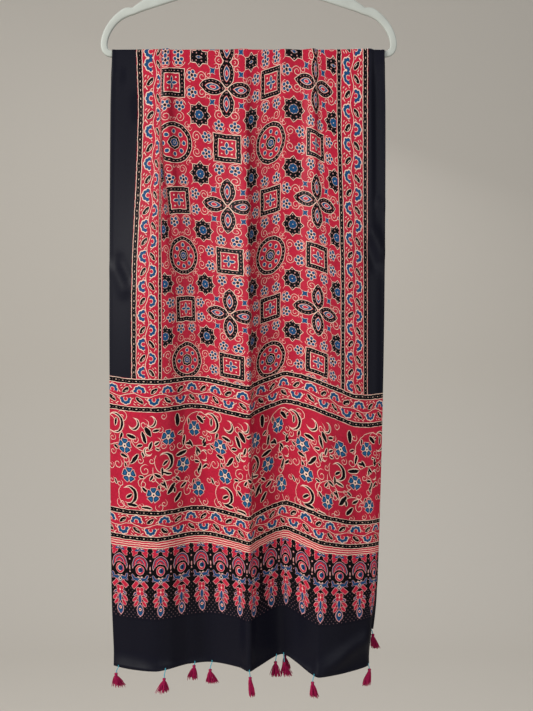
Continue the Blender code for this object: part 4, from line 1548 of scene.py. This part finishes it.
def wire_material():
    """Bright drawn wire with fine streaks along it."""
    made = new_material("bright_wire", 0.24, 1.0)
    pen = Pen(made)
    shader = pen.shader
    place = pen.node("ShaderNodeTexCoord").outputs["Object"]
    drawn = pen.vector("MULTIPLY", place, (1.0, 3.0, 0.5)).outputs[0]
    streaks = pen.clouds(drawn, 420.0, 3.0, "3D")
    share = Sum(pen, streaks.outputs[0])
    pen.feed(
        shader.inputs["Base Color"],
        pen.mixed((0.50, 0.50, 0.52, 1.0), (0.68, 0.68, 0.69, 1.0), share),
    )
    pen.feed(shader.inputs["Roughness"], share.scaled(0.25, 0.14))
    pen.roughen(streaks.outputs[0], 0.15, 0.0001)
    return made


def make_stage():
    """A pale floor that sweeps up into a pale wall."""
    bm = bmesh.new()
    wide, near, floor, wall, turn, high = 9.0, -6.0, -1.9, 3.4, 1.2, 3.5
    bmesh.ops.create_grid(bm, x_segments=1, y_segments=40, size=1.0)
    for vertex in bm.verts:
        along = (vertex.co.y + 1.0) / 2.0 * 40.0
        x = vertex.co.x * wide
        if along < 10.0:
            vertex.co = Vector((x, near + (wall - turn - near) * along / 10.0, floor))
        elif along < 30.0:
            angle = math.pi / 2.0 * (along - 10.0) / 20.0
            y = wall - turn + turn * math.sin(angle)
            vertex.co = Vector((x, y, floor + turn - turn * math.cos(angle)))
        else:
            up = (along - 30.0) / 10.0
            vertex.co = Vector((x, wall, floor + turn + (high - floor - turn) * up))
    made = new_material("pale_paper", 0.9)
    made.node_tree.nodes["Principled BSDF"].inputs["Base Color"].default_value = PAPER
    paper = add_piece("paper_sweep", bm, [made])
    paper.data.shade_smooth()


def add_light(name, place, aim, size, power, colour=(1.0, 1.0, 1.0)):
    lamp = bpy.data.lights.new(name, "AREA")
    lamp.shape = "RECTANGLE"
    lamp.size, lamp.size_y = size
    lamp.energy = power
    lamp.color = colour
    made = bpy.data.objects.new(name, lamp)
    made.location = place
    made.rotation_euler = (Vector(aim) - Vector(place)).to_track_quat("-Z", "Y").to_euler()
    bpy.context.scene.collection.objects.link(made)


PAPER = (0.62, 0.58, 0.52, 1.0)
CAMERA_AWAY = 1.25
CAMERA_PLACE = (0.0266, -CAMERA_AWAY, -0.6618)
SEEN_HIGH = 1.0665  # what the view takes in at the hanger's plane, top to bottom


def set_view():
    camera = bpy.data.cameras.new("camera")
    camera.sensor_fit = "AUTO"
    camera.sensor_width = 36.0
    camera.lens = camera.sensor_width * CAMERA_AWAY / SEEN_HIGH
    made = bpy.data.objects.new("camera", camera)
    made.location = CAMERA_PLACE
    made.rotation_euler = (math.pi / 2.0, 0.0, 0.0)
    bpy.context.scene.collection.objects.link(made)
    bpy.context.scene.camera = made
    world = bpy.data.worlds.new("studio")
    bpy.context.scene.world = world
    world.use_nodes = True
    world.node_tree.nodes["Background"].inputs["Color"].default_value = (0.93, 0.96, 1.0, 1.0)
    world.node_tree.nodes["Background"].inputs["Strength"].default_value = 0.30
    bpy.context.scene.view_settings.view_transform = "Standard"
    middle = (0.0, 0.0, -0.6)
    add_light("window", (-2.5, -1.9, 0.9), middle, (1.5, 1.5), 130.0, (1.0, 0.985, 0.96))
    add_light("fill", (1.4, -2.8, 0.0), middle, (1.8, 1.8), 32.0, (0.96, 0.98, 1.0))
    add_light("behind", (0.8, 2.4, 1.6), middle, (1.6, 1.6), 30.0)


rng = random.Random(7)
cloth_finishes = [
    cloth_material("dark_silk", NAVY, None, 0.10),
    cloth_material("field_print", RED, print_field),
    cloth_material("side_border_print", RED, print_border),
    cloth_material("cross_border_print", RED, print_bands),
    cloth_material("scrolling_print", RED, print_scroll),
    cloth_material("tree_print", NAVY, print_trees, 0.08),
]
cloth = make_cloth(cloth_finishes)
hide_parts("ajrakh_cloth")
hanger = make_frame(moulded_material())
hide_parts("hanger_frame")
hook = make_hook(wire_material())
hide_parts("hanger_hook")
thread_finish = yarn_material(
    "turquoise_thread", (0.030, 0.26, 0.36, 1.0), (0.12, 0.50, 0.60, 1.0), 0.6, 2600.0
)
tassel_finish = yarn_material(
    "maroon_yarn", (0.16, 0.003, 0.030, 1.0), (0.42, 0.010, 0.085, 1.0), 0.65, 1700.0
)
hung = hang_tassels("front", FRONT_TASSELS, 0.0, thread_finish, tassel_finish, rng)
hung += hang_tassels("back", BACK_TASSELS, CLOTH_LENGTH, thread_finish, tassel_finish, rng)
for piece in [cloth, hanger, hook] + hung:
    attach(piece, "root")
make_stage()
set_view()
